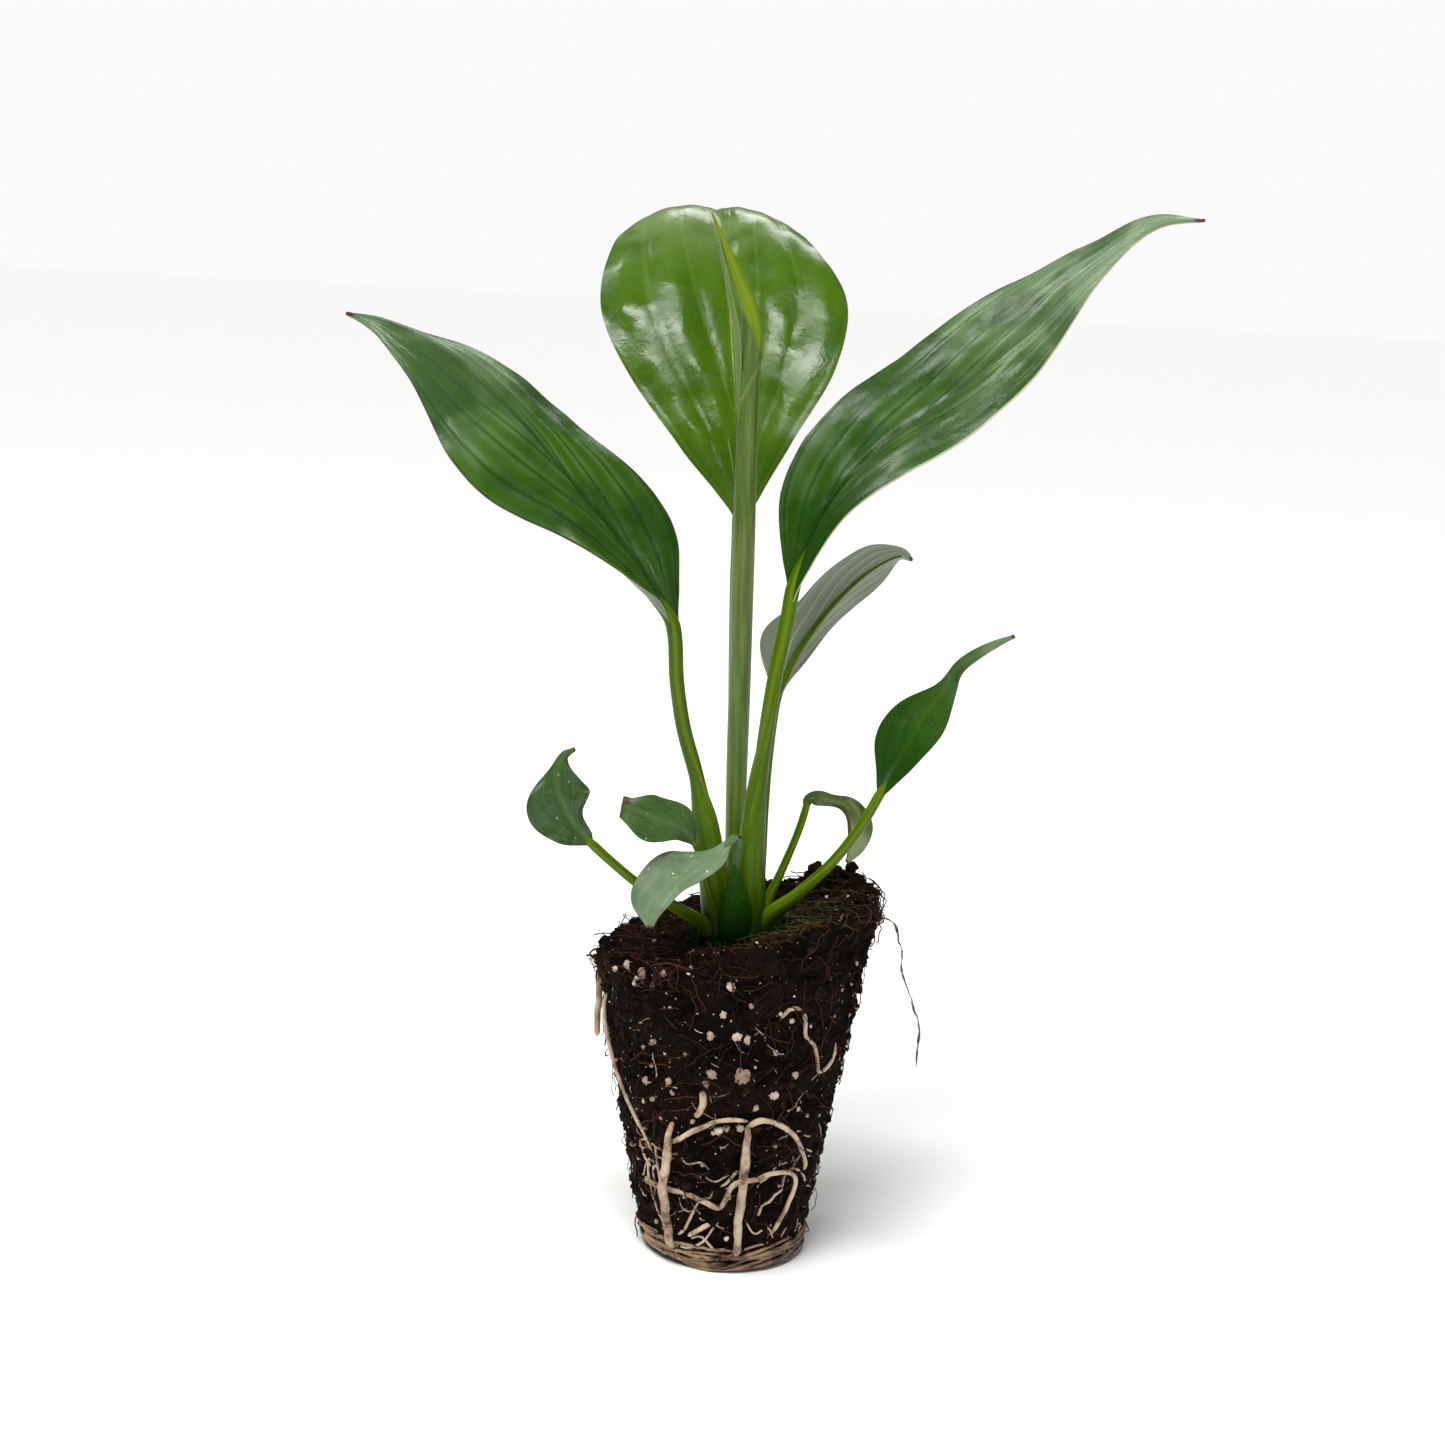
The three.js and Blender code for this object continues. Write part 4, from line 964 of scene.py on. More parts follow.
LEAVES = {
    "right_leaf": leaf_shape(
        line=[
            [1.3, -3.2, -1], [1.5, -4.9, 6.8], [1.4, -6, 15.6], [1.8, -6.8, 26.5], [2.7, -7, 35.6],
            [3.5, -6.2, 42.9], [4.7, -5, 50.3], [5.3, -4.5, 55], [7.3, -3, 61.5], [11.2, -1, 68.9],
            [17.3, 1, 76], [27.6, 3, 84], [37.7, 4, 93.2], [47.6, 4, 103.2], [55.4, 3, 109.8],
            [62, 2, 110.8],
        ],
        joint=7, sheath=2.5, stalk=1.1, sheath_end=0.6, closes_over=0.55,
        left=[1.4, 8.5, 11.5, 12.8, 12.4, 9.5, 4.5, 0.3],
        right=[2.6, 6.2, 9, 10.4, 8.2, 4, 1.2, 0.3],
        folds=[0.5, 0.3, 0.15, 0.1],
        faces=[[-0.6, -0.5, 0.3], [-0.5, -0.6, 0.6], [-0.5, -0.6, 0.6], [-0.3, -0.5, 0.8]],
        look={**DARK, "rim": 0.8, "right_rim": 0xB8C8A0, "painted_sheen": 0.7}, slot="dark_leaf",
        veins=4, lean=1.1, quilt=0.13, wave=(0.35, 3.2, 0.3),
    ),
    "left_leaf": leaf_shape(
        line=[
            [-2.8, -3, -1], [-3.6, -4, 6.3], [-5, -5, 15], [-7.3, -6, 25.8], [-9.6, -7, 33.4],
            [-11, -8, 41], [-11.5, -9, 47.1], [-12.1, -9, 49.7], [-16.5, -9, 56.5],
            [-22.3, -8, 63.3], [-28.1, -7, 69.6], [-34.5, -6, 76.2], [-40.9, -5, 81.9],
            [-48.3, -5, 87.5], [-55, -5, 90.4], [-60.9, -6, 91.4],
        ],
        joint=7, sheath=2.45, stalk=1.1, sheath_end=0.5, closes_over=0.1, narrows=0.6,
        left=[2.2, 7, 11, 15, 13.5, 10, 5.5, 0.3],
        right=[1.8, 8, 10, 9.5, 8, 6, 2, 0.3],
        folds=[0.5, 0.3, 0, -0.1],
        faces=[[0.6, -0.6, 0.3], [0.5, -0.6, 0.6], [0.45, -0.6, 0.6], [0.2, -0.5, 0.8]],
        look=DARK, slot="dark_leaf",
        veins=4, lean=1.1, quilt=0.13, wave=(0.45, 2.7, 0.1), curl=2.4,
    ),
    "back_leaf": leaf_shape(
        line=[
            [-0.8, 1.2, -1], [-1.4, 3.2, 20], [-2.3, 4.8, 40], [-2.8, 7, 54], [-3, 10, 63],
            [-4, 14.5, 75], [-5.6, 21, 89], [-7.4, 30, 102], [-9, 41, 108.6], [-10.4, 52, 107],
            [-11.4, 60, 101],
        ],
        joint=4, sheath=1.7, stalk=1.2, sheath_end=0.4,
        left=[1.2, 9, 15.8, 20, 19, 15.4, 9, 0.3],
        right=[1.8, 8.4, 15.6, 18.4, 14.8, 12.4, 8, 0.3],
        folds=[0.4, 0.25, 0.35, 0.3], rolls=[-0.3, -0.3, -0.5, -1.1, -1.1],
        faces=[[0, -1, 0.2], [0, -1, 0.4], [0, -0.5, 1], [0, 0.3, 1]],
        look=YOUNG, slot="young_leaf",
        veins=3, lean=1.3, quilt=0.42, smooth_from=0.5, wave=(0.38, 2.2, 0.55),
    ),
    "right_back_leaf": leaf_shape(
        line=[
            [1.9, 1.2, -1], [2.8, 3, 13.4], [3.1, 5, 25.5], [3.6, 7, 32.6], [4.1, 8, 36.4],
            [5.9, 9.5, 41.6], [9.3, 11.5, 47.1], [13.6, 14, 52.2], [18.1, 17, 55.9],
            [22.5, 19, 57.8], [24.2, 20, 57],
        ],
        joint=4, sheath=1.3, stalk=0.8, sheath_end=0.5,
        left=[0.8, 2.4, 3, 3.8, 3.6, 0.3],
        right=[0.8, 6, 4.4, 4.7, 3.6, 0.3],
        folds=[0.4, 0.3, 0.2],
        faces=[[-0.3, 0.9, 0.2], [-0.2, 0.9, 0.3], [-0.1, 0.8, 0.5]],
        look={**DULL, "under": 0x78826C, "vein": 0xB4BCAA, "veins": 0.7, "minor": 0.3},
        veins=5, lean=0.85, quilt=0.28, wave=(0.3, 2, 0.2),
    ),
    "low_right_leaf": leaf_shape(
        line=[
            [2.6, -2.6, 0.6], [4.2, -5, 4.8], [7.9, -8, 9.2], [12.9, -11, 15.2], [17.1, -12, 21.7],
            [19.5, -12, 26.5], [22.1, -12, 31.7], [24.7, -11, 36.8], [28.1, -10, 42],
            [29.7, -10, 45.3], [32, -10, 47.3], [35.5, -10, 49.4], [37.6, -10, 50.4],
        ],
        joint=5, sheath=1.3, stalk=0.75, sheath_end=0.5,
        left=[0.9, 5, 5.1, 1.9, 1.0, 0.3],
        right=[1, 3.2, 4.4, 2.2, 1.1, 0.3],
        faces=[[-0.5, -0.7, 0.4], [-0.5, -0.7, 0.4], [-0.5, -0.4, 0.5], [-0.3, -0.8, 0.6]],
        look={**DARK, "green": 0x274C04, "light": 0x3C6008, "fold_sheen": 0.1, "veins": 0.15,
              "rib": 0.35, "rib_colour": 0x456410},
        slot="dark_leaf", veins=4, lean=1.0, quilt=0.16, wave=(0.15, 2, 0.4),
    ),
    "curled_right_leaf": leaf_shape(
        line=[
            [3.2, 0.8, 0.2], [4, 1.6, 4.8], [6.2, 3.6, 10], [8.6, 6, 16.2], [9.5, 7.3, 19.3],
            [9.8, 7.6, 20.7], [11.2, 7.4, 21.3], [13.4, 7, 21], [15.6, 6.2, 20.6],
            [17, 5.2, 19.6], [17.8, 4, 18.1], [17.6, 3, 15.8], [16.9, 2.4, 13.9], [16, 2, 12.4],
        ],
        joint=4, sheath=0.9, stalk=0.6, sheath_end=0.5,
        left=[0.6, 0.9, 0.8, 1.6, 2.2, 1.5, 0.3],
        right=[0.6, 1.6, 1.1, 1.6, 2.2, 1.5, 0.3],
        faces=[[-0.4, -0.8, 0.4], [0, -0.9, 0.4], [0.4, -0.9, 0.4], [0.3, -0.95, 0.1]],
        look={**DULL, "green": 0x46540E, "deep": 0x303D08, "light": 0x7A8651, "painted_sheen": 0.7,
              "painted_sheen_colour": 0x8C9A70},
        veins=3, lean=0.5, quilt=0.1, wave=(0.15, 2, 0.4), dry="right",
    ),
    "low_left_leaf": leaf_shape(
        line=[
            [-3.4, -3, 0.6], [-5.2, -5.6, 3.6], [-9.3, -9.6, 7], [-14.8, -13.4, 11.2],
            [-19.4, -15.6, 15.4], [-22, -16.8, 18], [-24.8, -17.8, 21], [-26.8, -18.2, 24.7],
            [-27.4, -17.6, 28.8], [-26.5, -16.8, 30.9], [-25, -16, 31.6],
        ],
        joint=5, sheath=1.2, stalk=0.7, sheath_end=0.5,
        left=[0.7, 4, 5.2, 1, 0.3],
        right=[0.7, 2.2, 4.6, 2.4, 0.3],
        faces=[[0.3, -0.8, 0.5], [0.3, -0.9, 0.2], [0.1, -0.9, 0.3]],
        look={**DULL, "green": 0x355622, "deep": 0x264418, "specks": 0.4},
        veins=3, lean=0.9, quilt=0.16, wave=(0.55, 3.4, 0.3),
    ),
    "small_left_leaf": leaf_shape(
        line=[
            [-2.6, -4.4, 1], [-4.2, -7, 6.5], [-5.7, -8.4, 12.6], [-7.1, -9.4, 16.8],
            [-8.7, -10, 18.6], [-11, -11, 20], [-14.6, -12.6, 21.6], [-18, -13.4, 23.1],
        ],
        joint=3, sheath=0.8, stalk=0.5, sheath_end=0.4,
        left=[0.6, 2, 3.6, 4.3, 2.2],
        right=[0.6, 3.9, 4.1, 3.3, 1.8],
        faces=[[0.2, -0.6, 0.8], [0.1, -0.7, 0.7], [0.1, -0.6, 0.8]],
        look={**DULL, "specks": 0.6},
        veins=3, lean=0.8, quilt=0.16, wave=(0.3, 2.4, 0.2), dry="end",
    ),
    "front_leaf": leaf_shape(
        line=[
            [-0.8, -4.2, 1.4], [-1.1, -7, 7], [-1, -8.4, 12.6], [-0.7, -9.2, 16.4],
            [-0.9, -10, 18.4], [-2, -10.8, 17.8], [-3.6, -12, 16], [-6.4, -14.2, 14.5],
            [-9.8, -16.6, 12.8], [-12.4, -19, 10], [-13, -20.4, 6.8],
        ],
        joint=5, sheath=0.8, stalk=0.65, sheath_end=0.4, wing=4.2, hook=1.0,
        left=[0.9, 2, 2.1, 2.1, 2, 0.6],
        right=[0.9, 2.5, 4.8, 5.6, 4.8, 0.6],
        folds=[0.2, 0.1, 0],
        faces=[[-0.4, -0.6, 0.7], [-0.3, -0.7, 0.6], [-0.4, -0.8, 0.5], [-0.5, -0.8, 0.2]],
        look={**DULL, "green": 0x6A8062, "deep": 0x54694A, "light": 0x98A68A, "specks": 0.8},
        veins=3, lean=0.8, quilt=0.14, wave=(0.2, 2.3, 0.6),
    ),
}


def upper_face(faces, tangent, t):
    """The direction that the blade's upper face looks in, square to its line."""
    at = t * (len(faces) - 1)
    low = np.minimum(np.floor(at).astype(int), len(faces) - 2)
    faces = np.array(faces, float)
    up = lerp(faces[low], faces[low + 1], (at - low)[:, None])
    return unit(up - tangent * np.sum(up * tangent, axis=1, keepdims=True))


def dryness(leaf, along, signed):
    """1 where the blade is brown and dry: its tip, and one margin or the cut end."""
    if leaf["dry"] == "never":
        return np.zeros(along.shape)
    dry = smoothstep(along, 0.965, 1.0)
    if leaf["dry"] == "end":
        dry = np.maximum(dry, smoothstep(along, 0.86, 0.97) * smoothstep(-signed, -0.6, 0.6))
    if leaf["dry"] == "right":
        dry = np.maximum(dry, smoothstep(-signed, 0.55, 0.95) * smoothstep(along, 0.25, 0.5))
    return dry


STREAK_PULL = 0.05  # how far the noise of a streak is drawn out along its tube


def streaks(angle, length):
    """Where each point of a tube is, round it and along it, for noise that runs along it."""
    around, along = np.tile(angle, len(length)), np.repeat(length, len(angle))
    return np.stack([np.cos(around), np.sin(around), along * STREAK_PULL], -1)


GROOVE_DEPTH, GROOVE_WIDTH = 0.28, 0.55  # the midrib's groove in the upper face
UNEVEN, UNEVEN_CELL = 0.34, 9.0  # how far broad waves move the blade, and how broad they are
LARGE_HALF_WIDTH = 8  # from here on a blade is a large one


def blade_faces(across, along):
    """The upper and lower face of a blade, and the narrow faces round its margin."""
    count = across * along
    faces = grid_faces(along, across) + grid_faces(along, across, count, flip=True)
    for i in range(along - 1):
        a, b = i * across, (i + 1) * across
        faces.append([a, b, count + b, count + a])
        a, b = a + across - 1, b + across - 1
        faces.append([a, count + a, count + b, b])
    for j in range(across - 1):
        faces.append([j, count + j, count + j + 1, j + 1])
        k = (along - 1) * across + j
        faces.append([k, k + 1, count + k + 1, count + k])
    return faces


def blade_mesh(line, start, leaf, across, along, wing=1e-6):
    """A thin closed blade with sunken veins, a midrib and a waved margin."""
    signed = np.linspace(-1, 1, across)
    signed = np.sign(signed) * np.abs(signed) ** 1.35
    t = np.linspace(0, 1, along)
    t = lerp(t, smoothstep(t, 0, 1), 0.35)
    share = start + (1 - start) * t
    tangent = line.tangent(share)
    up = upper_face(leaf["faces"], tangent, t)
    towards_left = np.cross(up, tangent)
    u, t2 = np.meshgrid(signed, t)
    off = np.abs(u)
    past_joint = np.clip((t2 - wing) / (1 - wing), 0, 1)
    half = np.where(u > 0, value_at(leaf["left"], past_joint), value_at(leaf["right"], past_joint))
    half = half * lerp(0.25, 1, smoothstep(t2, 0, 1.8 * wing))
    half = np.maximum(half, TIP_HALF_WIDTH)
    roll = value_at(leaf["rolls"], t2)
    fold = value_at(leaf["folds"], t2)
    lean_angle = fold + roll * off
    out = half * (np.sin(lean_angle) - np.sin(fold)) / roll
    rise = half * (np.cos(fold) - np.cos(lean_angle)) / roll

    phase = leaf["veins"] * (t2 - leaf["lean"] * off**0.85 * (0.45 + 0.55 * t2)) + 0.4
    nearest = np.abs(phase - np.round(phase))
    flat_zone = smoothstep(off, 0.02, 0.2) * (1 - smoothstep(off, 0.8, 1.0))
    size = np.minimum(half / LARGE_HALF_WIDTH, 1) * smoothstep(t2, 0.0, 0.1)
    size = size * (1 - smoothstep(t2, leaf["smooth_from"], 1))
    quilt = leaf["quilt"] * (np.sqrt(nearest * 2) - 0.6) * flat_zone * size
    height, waves, begin = leaf["wave"]
    sides = np.where(u > 0, 0.0, 0.37)
    wave = height * np.sin(2 * math.pi * (waves * t2 + begin + sides)) * off**2.2
    wave *= smoothstep(t2, 0.0, 0.15) * (1 - smoothstep(t2, 0.9, 1))
    groove = -GROOVE_DEPTH * np.exp(-((u * half / GROOVE_WIDTH) ** 2))
    groove = groove * smoothstep(t2, 0, 0.1) * (1 - t2)
    curled = (u > 0) * smoothstep(off, 0.6, 1.0)
    curled = curled * (smoothstep(t2, 0.04, 0.14) * (1 - smoothstep(t2, 0.2, 0.42)))
    middle = (line.at(share)[:, None] + towards_left[:, None] * (np.sign(u) * out)[..., None]
              + up[:, None] * rise[..., None])
    uneven = fractal(middle.reshape(-1, 3), UNEVEN_CELL, 2, 4).reshape(u.shape)
    uneven = UNEVEN * uneven * size
    facing = (up[:, None] * np.cos(lean_angle)[..., None]
              - towards_left[:, None] * (np.sign(u) * np.sin(lean_angle))[..., None])
    thick = lerp(BLADE_THICKNESS, MARGIN_THICKNESS, smoothstep(off, 0.0, 0.9)) / 2
    relief = quilt + wave + uneven + leaf["curl"] * curled
    top = middle + facing * (relief + thick + groove)[..., None]
    bottom = middle + facing * (relief - thick)[..., None]

    def both(values):
        return np.tile(np.ravel(values), 2)

    return np.vstack([top.reshape(-1, 3), bottom.reshape(-1, 3)]), blade_faces(across, along), dict(
        phase=both(phase), midrib=both(off * half), across=both(off), along=both(t2),
        upper=np.repeat([1.0, 0.0], across * along), dry=both(dryness(leaf, t2, u)),
        right_half=both(np.where(u < 0, 1.0, 0.0)), curled=both(curled * (leaf["curl"] > 0)),
    )


def petiole_mesh(line, joint, leaf, sides=20):
    """A petiole with its sheath's two edges, which runs on below the blade as the midrib."""
    rings = max(int(line.length / 1.1), 30)
    reach = joint + (1 - joint) * 0.93
    share = np.linspace(0, reach, rings)
    along = share / joint
    end = leaf["sheath_end"]
    closing = smoothstep(along, end - leaf["closes_over"], end + 0.05)
    radius = lerp(leaf["sheath"] * (1 - leaf["narrows"] * along), leaf["stalk"], closing)
    t = np.clip((share - joint) / (1 - joint), 0, 1)
    radius = radius * lerp(1, 0.16, t**0.55)
    tangent = line.tangent(share)
    centres = line.at(share)
    up = upper_face(leaf["faces"], tangent, t)
    inner = np.array([CROWN_CENTRE[0], CROWN_CENTRE[1], 0]) - centres * [1, 1, 0]
    turn = smoothstep(along, 0.15, 0.9)[:, None]
    up = lerp(unit(inner + [0, 0, 1e-6]), up, turn)
    up = unit(up - tangent * np.sum(up * tangent, axis=1, keepdims=True))
    sunk = (radius * 1.05 + 0.12) * smoothstep(t, 0.0, 0.1)
    centres = centres - up * sunk[:, None]
    angle = np.arange(sides) * 2 * math.pi / sides
    off = np.minimum(angle, 2 * math.pi - angle)
    open_share = (1 - smoothstep(along, end, end + 0.25))[:, None]
    channel = 0.3 * np.exp(-((off / 0.45) ** 2)) * (0.35 + 0.65 * open_share) * (t < 0.02)[:, None]
    edges = 0.2 * np.exp(-(((off - 0.75) / 0.25) ** 2)) * open_share
    points, faces = sweep(centres, sides, radius[:, None] * (1 - channel + edges), up)
    edge = np.tile(np.exp(-(((off - 0.75) / 0.4) ** 2)), rings)
    return points, faces, dict(
        along=np.repeat(along, sides), streak=streaks(angle, share * line.length), edge=edge
    )


STALK = dict(
    green=0x3C5A00, light=0x547204, edge=0x728412, foot=0x1A3A02, pale_foot=0x66782A, hook=0x4E6E44,
)
LARGE_WING, SMALL_WING = 4.5, 1.6  # how far before the joint a blade starts
LARGE_GRID, SMALL_GRID = (57, 150), (33, 70)  # points across and along a blade


def from_soil(points):
    return np.array(points, float) + [0, 0, PLUG_HEIGHT]


def add_leaves():
    stalk = stalk_finish("petiole", STALK)
    for name, leaf in LEAVES.items():
        line = Line(from_soil(leaf["line"]))
        joint = line.knots[leaf["joint"]]
        large = max(leaf["left"]) > LARGE_HALF_WIDTH
        across, along = LARGE_GRID if large else SMALL_GRID
        wing = (leaf["wing"] or (LARGE_WING if large else SMALL_WING)) / line.length
        points, faces, facts = blade_mesh(
            line, joint - wing, leaf, across, along, wing / (1 - joint + wing)
        )
        skin = blade_finish(name, leaf["look"])
        blade = add_piece(
            f"{name}_lamina", points, faces, skin, leaf["slot"], [f"{name}_blade"], **facts
        )
        blade.data.set_sharp_from_angle(angle=math.radians(60))
        points, faces, facts = petiole_mesh(line, joint, leaf)
        facts["large"] = np.full(len(points), float(large))
        facts["hook"] = np.full(len(points), leaf["hook"])
        add_piece(f"{name}_stalk", points, faces, stalk, "petiole", [f"{name}_petiole"], **facts)


# ---------------------------------------------------------------- rolled leaf, sheath and crown

SPEAR_LINE = [
    [-0.4, -0.6, -1], [-1.1, -1, 14.2], [-1.4, -1, 25], [-1.6, -1, 37.3], [-1.9, -1, 49.3],
    [-2.2, -1, 61.2], [-2.6, -1, 73], [-2.8, -1, 84], [-3, -1, 93.2], [-5.9, -1, 100.7],
    [-9.4, -1, 108.3],
]
SPEAR_RADIUS, SPEAR_TIP, SPEAR_TAPER = 1.6, 0.12, 0.84
# How high the hood's mouth and the lip below it are, at the spear's left and at its right.
HOOD_MOUTH, LIP = (96, 87.6), (80.5, 87.2)


def add_spear():
    """The rolled new leaf: one edge laps over the other, and it opens into a pointed hood."""
    line = Line(from_soil(SPEAR_LINE))
    rings, sides = 170, 36
    share = np.linspace(0, 1, rings)
    tapered = np.clip((share - SPEAR_TAPER) / (1 - SPEAR_TAPER), 0, 1)
    radius = lerp(SPEAR_RADIUS, SPEAR_TIP, tapered**1.15)
    angle = np.arange(sides) / sides
    seam = lerp(0.62, 0.9, smoothstep(share, 0.3, 0.85))[:, None]
    lap = (angle - seam) % 1.0
    step = 0.16 * (1 - smoothstep(lap, 0.0, 0.9)) * smoothstep(share, 0.1, 0.35)[:, None]
    radii = radius[:, None] * (0.93 + step)
    front = np.tile([0.0, -1.0, 0.0], (rings, 1))
    centres = line.at(share)
    points, faces = sweep(centres, sides, radii, front)
    ring_points = points[:rings * sides].reshape(rings, sides, 3)
    rightward = (ring_points[..., 0] - centres[:, None, 0]) / radius[:, None]
    rightward = np.clip(rightward / 2 + 0.5, 0, 1)
    above = ring_points[..., 2] - PLUG_HEIGHT - lerp(*HOOD_MOUTH, rightward)
    below = ring_points[..., 2] - PLUG_HEIGHT - lerp(*LIP, rightward)
    hood = smoothstep(above, -0.4, 0.4)
    outward = ring_points - centres[:, None]
    ring_points += outward * (0.09 * hood * (1 - smoothstep(above, 2, 14)))[..., None]
    streak = streaks(angle * 2 * math.pi, share * line.length)
    edge = np.exp(-((np.minimum(lap, 1 - lap) / 0.035) ** 2)) * (1 - hood)
    edge = np.maximum(edge, np.exp(-((above / 0.5) ** 2))).ravel()
    lip = np.exp(-((below / 0.35) ** 2)).ravel()

    finish = Finish(
        "rolled_leaf_skin", coat_weight=0.15, coat_roughness=0.25, specular_ior_level=0.35
    )
    fine = finish.noise(finish.attribute("streak", "Vector"), 2.2, 3.0)
    along = finish.attribute("along")
    green = finish.mix(finish.fade(fine, 0.35, 0.7), 0x465E1C, 0x607632)
    green = finish.mix(finish.attribute("hood"), green, finish.mix(fine, 0x547002, 0x7C920A))
    green = finish.mix(finish.fade(along, 0.1, 0.35, 1.0, 0.0), green, 0x54740A)
    green = finish.mix(finish.times(finish.attribute("edge"), 0.6), green, 0x364E14)
    green = finish.mix(finish.times(finish.attribute("lip"), 0.6), green, 0x8E9C58)
    rough = finish.fade(fine, 0.3, 0.7, 0.3, 0.45)
    finish.set(base_color=green, roughness=rough, normal=finish.bump(fine, 0.35, 0.15))
    add_piece(
        "rolled_leaf", points, faces, finish.material, "young_leaf", ["new_leaf_spear"],
        along=np.repeat(share, sides), streak=streak, edge=edge, hood=hood.ravel(), lip=lip,
    )


# The dark pointed sheath at the front of the plant's foot.
CROWN_SHEATH = leaf_shape(
    line=[[-0.4, -7.2, 1.6], [-0.4, -8.2, 5], [-0.6, -9.2, 9.4], [-1.2, -10, 14]],
    left=[3.1, 2.8, 1.6, 0.3], right=[3.1, 2.8, 1.6, 0.3], folds=[0.1, 0.1], rolls=[0.9, 0.9],
    faces=[[0, 1, 0.1], [0, 1, 0.1]],
    veins=3, lean=0.1, quilt=0.1, wave=(0.1, 1.5, 0.2), dry="never",
)
# painted shade: the sheath darkens towards its base.
CROWN_LOOK = dict(
    deep=0x1E4E04, green=0x2E6204, light=0x44780C, vein=0x3A6C0A, under=0x1E4E04,
    rib_colour=0x1E4E04, rim_colour=0x4A7C14, rough=0.45, gloss=0.12, veins=0.3, shade=1.0,
)

# The rolled leaf's inner margin, which shows as a pale strip to the left of the hood.
INNER_MARGIN = leaf_shape(
    line=[
        [-3.7, -1.9, 76], [-4.1, -2, 84], [-4.6, -1.9, 90.5], [-6.3, -1.6, 97.5],
        [-8.3, -1.4, 104.4],
    ],
    left=[0.2, 0.5, 0.75, 0.7, 0.4, 0.1], right=[0.2, 0.4, 0.4, 0.35, 0.25, 0.1],
    folds=[0.2, 0.2], faces=[[-0.6, -0.8, 0.1], [-0.5, -0.85, 0.1]],
    veins=3, lean=0.9, quilt=0.06, wave=(0.05, 1.5, 0.2), dry="never",
)
INNER_LOOK = dict(
    deep=0x4C6A18, green=0x5E7C2C, light=0xA8B68C, vein=0xC2CCAC, under=0x5E7C2C,
    rib_colour=0x547224, rim_colour=0xD8E0C8, rough=0.35, veins=0.6,
)


def add_inner_margin():
    line = Line(from_soil(INNER_MARGIN["line"]))
    points, faces, facts = blade_mesh(line, 0.0, INNER_MARGIN, 21, 60)
    finish = blade_finish("inner_margin", INNER_LOOK)
    add_piece("rolled_leaf_margin", points, faces, finish, "young_leaf", **facts)


def add_crown():
    line = Line(from_soil(CROWN_SHEATH["line"]))
    finish = blade_finish("crown_sheath", CROWN_LOOK)
    points, faces, facts = blade_mesh(line, 0.0, CROWN_SHEATH, 25, 40)
    add_piece("sheath_leaf", points, faces, finish, "sheath", ["crown_sheath"], **facts)

    around, up = 72, 30
    bearing = np.arange(around) * 2 * math.pi / around
    share = np.linspace(0, 1, up)
    radius = CROWN_RADIUS * np.sqrt(np.clip(1 - share**2, 0, 1))
    radius[-1] = 0.02
    low, high = CROWN_CENTRE[2], CROWN_HIGH[2]
    rings = np.stack([
        CROWN_CENTRE[0] + radius[:, None] * np.cos(bearing),
        CROWN_CENTRE[1] + radius[:, None] * np.sin(bearing),
        np.broadcast_to(lerp(low, high, share)[:, None], (up, around)),
    ], -1).reshape(-1, 3)
    outward = unit(rings - CROWN_CENTRE)
    rings = rings + outward * (0.3 * fractal(rings, 1.3, 3, 12))[:, None]
    tint = np.clip(0.5 + fractal(rings, 2.0, 2, 13), 0, 1)
    stem = tinted_finish("crown_finish", 0x0C2408, 0x1E4210, 0.5, 0x3A5A1A, 0.5)
    add_piece("stem_base", rings, tube_faces(up, around), stem, "sheath", ["crown"], tint=tint)


# ---------------------------------------------------------------- stage

ELEVATION = math.radians(11)
ROLL = math.radians(3)
DISTANCE = 370.0
TARGET = np.array([-4.0, 0.0, 82.5])
PICTURE_WIDTH = 216.75  # how wide the picture is at the target, in millimetres
SENSOR = 36.0
ROOM_LIGHT = 0.13  # the room's light on the plant
BACKDROP_LIGHT = 0.955  # and how bright the room looks behind it
SKY_LIGHT, SKY_WIDTH = 2.95, math.radians(32)
SKY_DIRECTION = (0.2, 0.35, -1.0)
FLOOR_REACH = 6.0  # in metres, from the middle to each edge

# Where the lamps stand that the glossy leaves mirror, in metres, with sizes and powers in watts.
WINDOWS_AIM = (0, 0, 0.11)
WINDOWS = [
    ("front_window", (-0.06, -0.44, 0.8), (0.42, 0.14), 2.2),
    ("left_window", (-0.45, 0.15, 0.76), (0.2, 0.3), 1.1),
    ("right_window", (0.62, -0.62, 0.5), (0.08, 0.4), 0.8),
    ("back_window", (0.1, 0.5, 0.62), (0.4, 0.2), 1.0),
]


def add_camera():
    back = np.array([0, -math.cos(ELEVATION), math.sin(ELEVATION)])
    level = np.array([1.0, 0, 0])
    upright = np.cross(level, -back)
    up = math.cos(ROLL) * upright - math.sin(ROLL) * level
    right = np.cross(-back, up)
    camera = bpy.data.objects.new("camera", bpy.data.cameras.new("camera"))
    camera.data.sensor_width = SENSOR
    camera.data.lens = SENSOR * DISTANCE / PICTURE_WIDTH
    camera.data.clip_start = 0.01
    matrix = np.eye(4)
    matrix[:3, :3] = np.stack([right, up, back], 1)
    matrix[:3, 3] = (TARGET + back * DISTANCE) * MM
    camera.matrix_world = Matrix(matrix.tolist())
    bpy.context.scene.collection.objects.link(camera)
    bpy.context.scene.camera = camera


def add_light(name, lamp, direction):
    """A light that shines in a direction."""
    light = bpy.data.objects.new(name, lamp)
    light.rotation_euler = Vector(direction).to_track_quat("-Z", "Y").to_euler()
    bpy.context.scene.collection.objects.link(light)
    return light


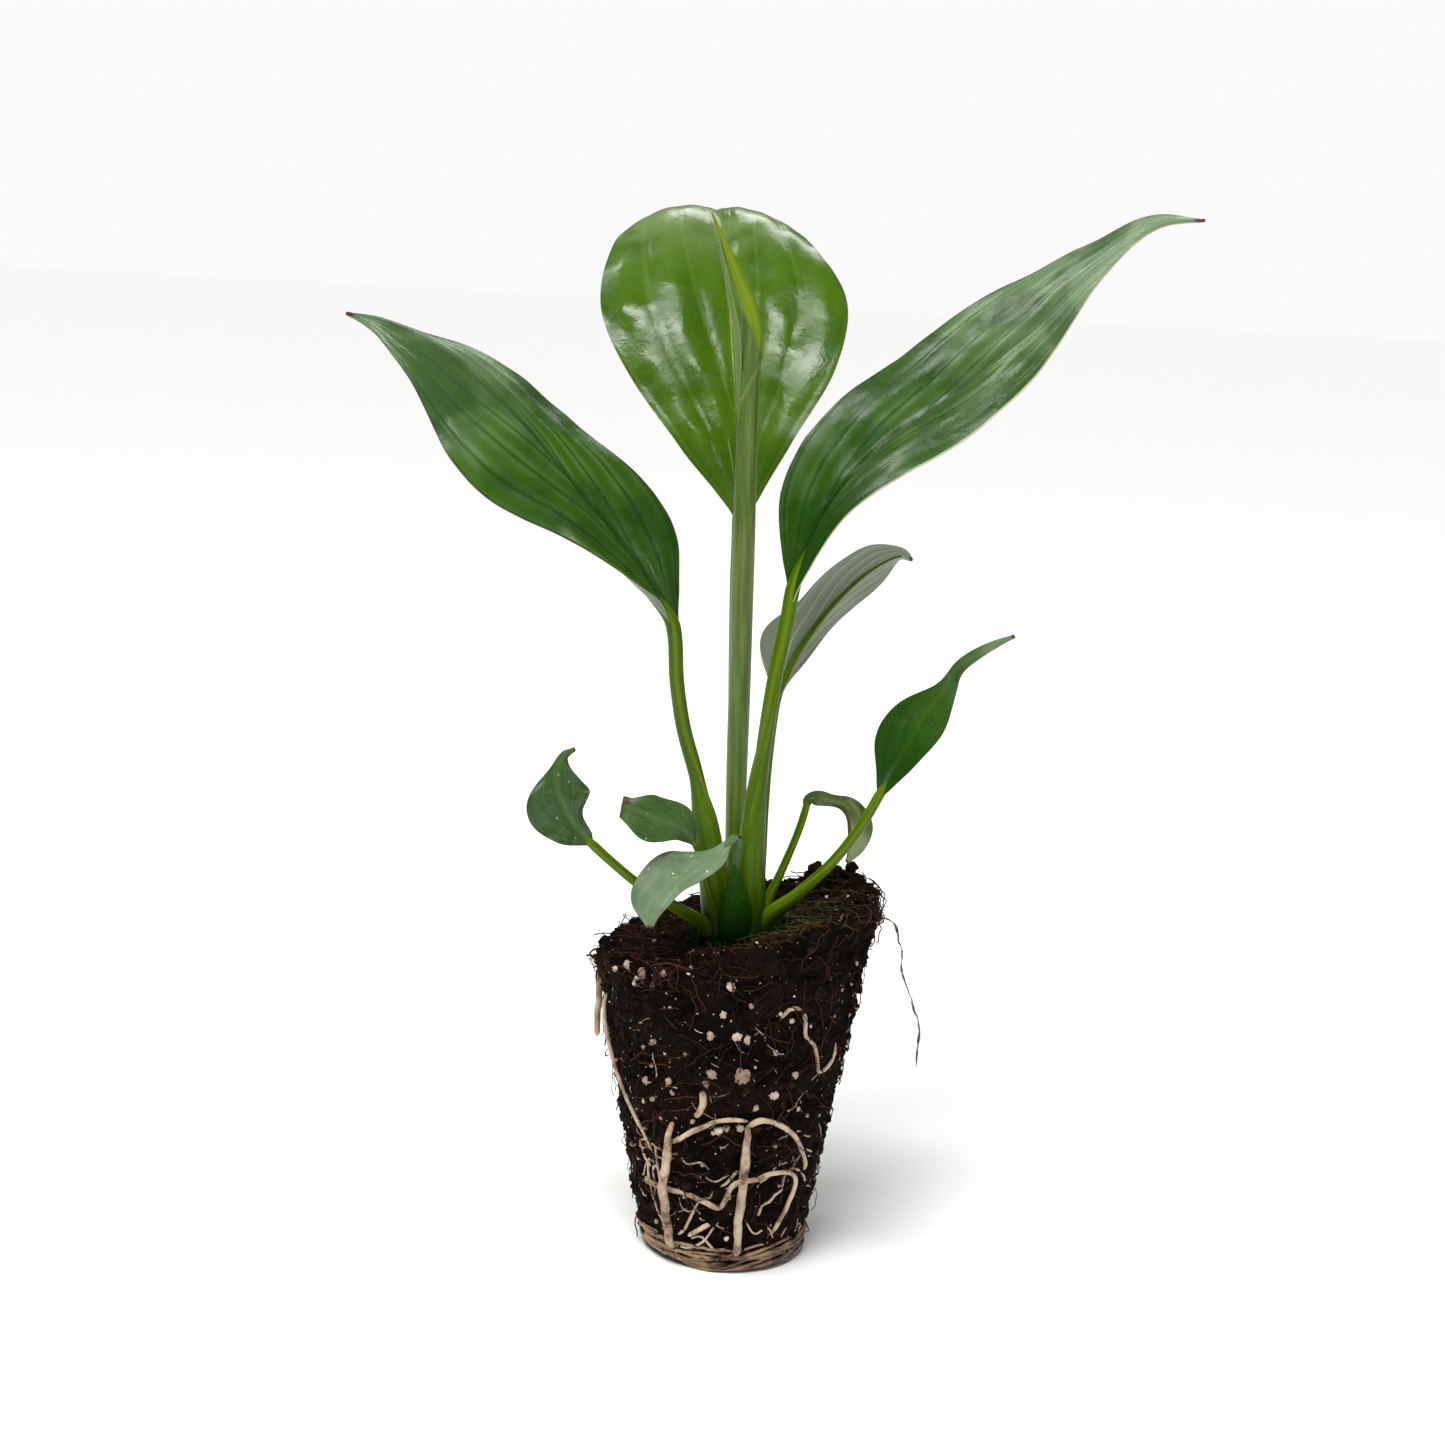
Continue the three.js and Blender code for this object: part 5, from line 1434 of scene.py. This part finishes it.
def add_studio():
    finish = Finish("floor_finish", specular_ior_level=0.1)
    paper = finish.noise(finish.place(), 60, 3.0)
    white = finish.mix(finish.fade(paper, 0.3, 0.7), 0xFBFBF9, 0xFDFDFC)
    finish.set(base_color=white, roughness=0.9)
    mesh = bpy.data.meshes.new("floor")
    reach = FLOOR_REACH
    corners = [(-reach, -reach, 0), (reach, -reach, 0), (reach, reach, 0), (-reach, reach, 0)]
    mesh.from_pydata(corners, [], [(0, 1, 2, 3)])
    mesh.materials.append(finish.material)
    floor = bpy.data.objects.new("floor", mesh)
    bpy.context.scene.collection.objects.link(floor)
    floor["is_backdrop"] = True

    world = bpy.data.worlds.new("studio")
    world.use_nodes = True
    background = world.node_tree.nodes["Background"]
    seen = world.node_tree.nodes.new("ShaderNodeLightPath")
    strength = world.node_tree.nodes.new("ShaderNodeMapRange")
    strength.inputs["To Min"].default_value = ROOM_LIGHT
    strength.inputs["To Max"].default_value = BACKDROP_LIGHT
    world.node_tree.links.new(seen.outputs["Is Camera Ray"], strength.inputs["Value"])
    world.node_tree.links.new(strength.outputs["Result"], background.inputs["Strength"])
    background.inputs["Color"].default_value = (1, 1, 1, 1)
    bpy.context.scene.world = world
    bpy.context.scene.view_settings.view_transform = "Standard"

    sun = bpy.data.lights.new("sky_lamp", "SUN")
    sun.energy, sun.angle = SKY_LIGHT, SKY_WIDTH
    sky = add_light("sky_lamp", sun, SKY_DIRECTION)
    sky.visible_glossy = False  # an open sky has no edge that a leaf could mirror
    for name, place, size, power in WINDOWS:
        lamp = bpy.data.lights.new(name, "AREA")
        lamp.shape = "RECTANGLE"
        lamp.size, lamp.size_y = size
        lamp.energy = power
        add_light(name, lamp, Vector(WINDOWS_AIM) - Vector(place)).location = place


# ---------------------------------------------------------------- the whole scene

add_camera()
add_studio()
add_plug()
add_crumbs()
add_perlite()
add_fibres()
add_moss()
add_roots()
add_leaves()
add_spear()
add_inner_margin()
add_crown()

bpy.context.view_layer.update()
sizes = [[list(corner) for corner in box] for box in (CAD_BOX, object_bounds())]
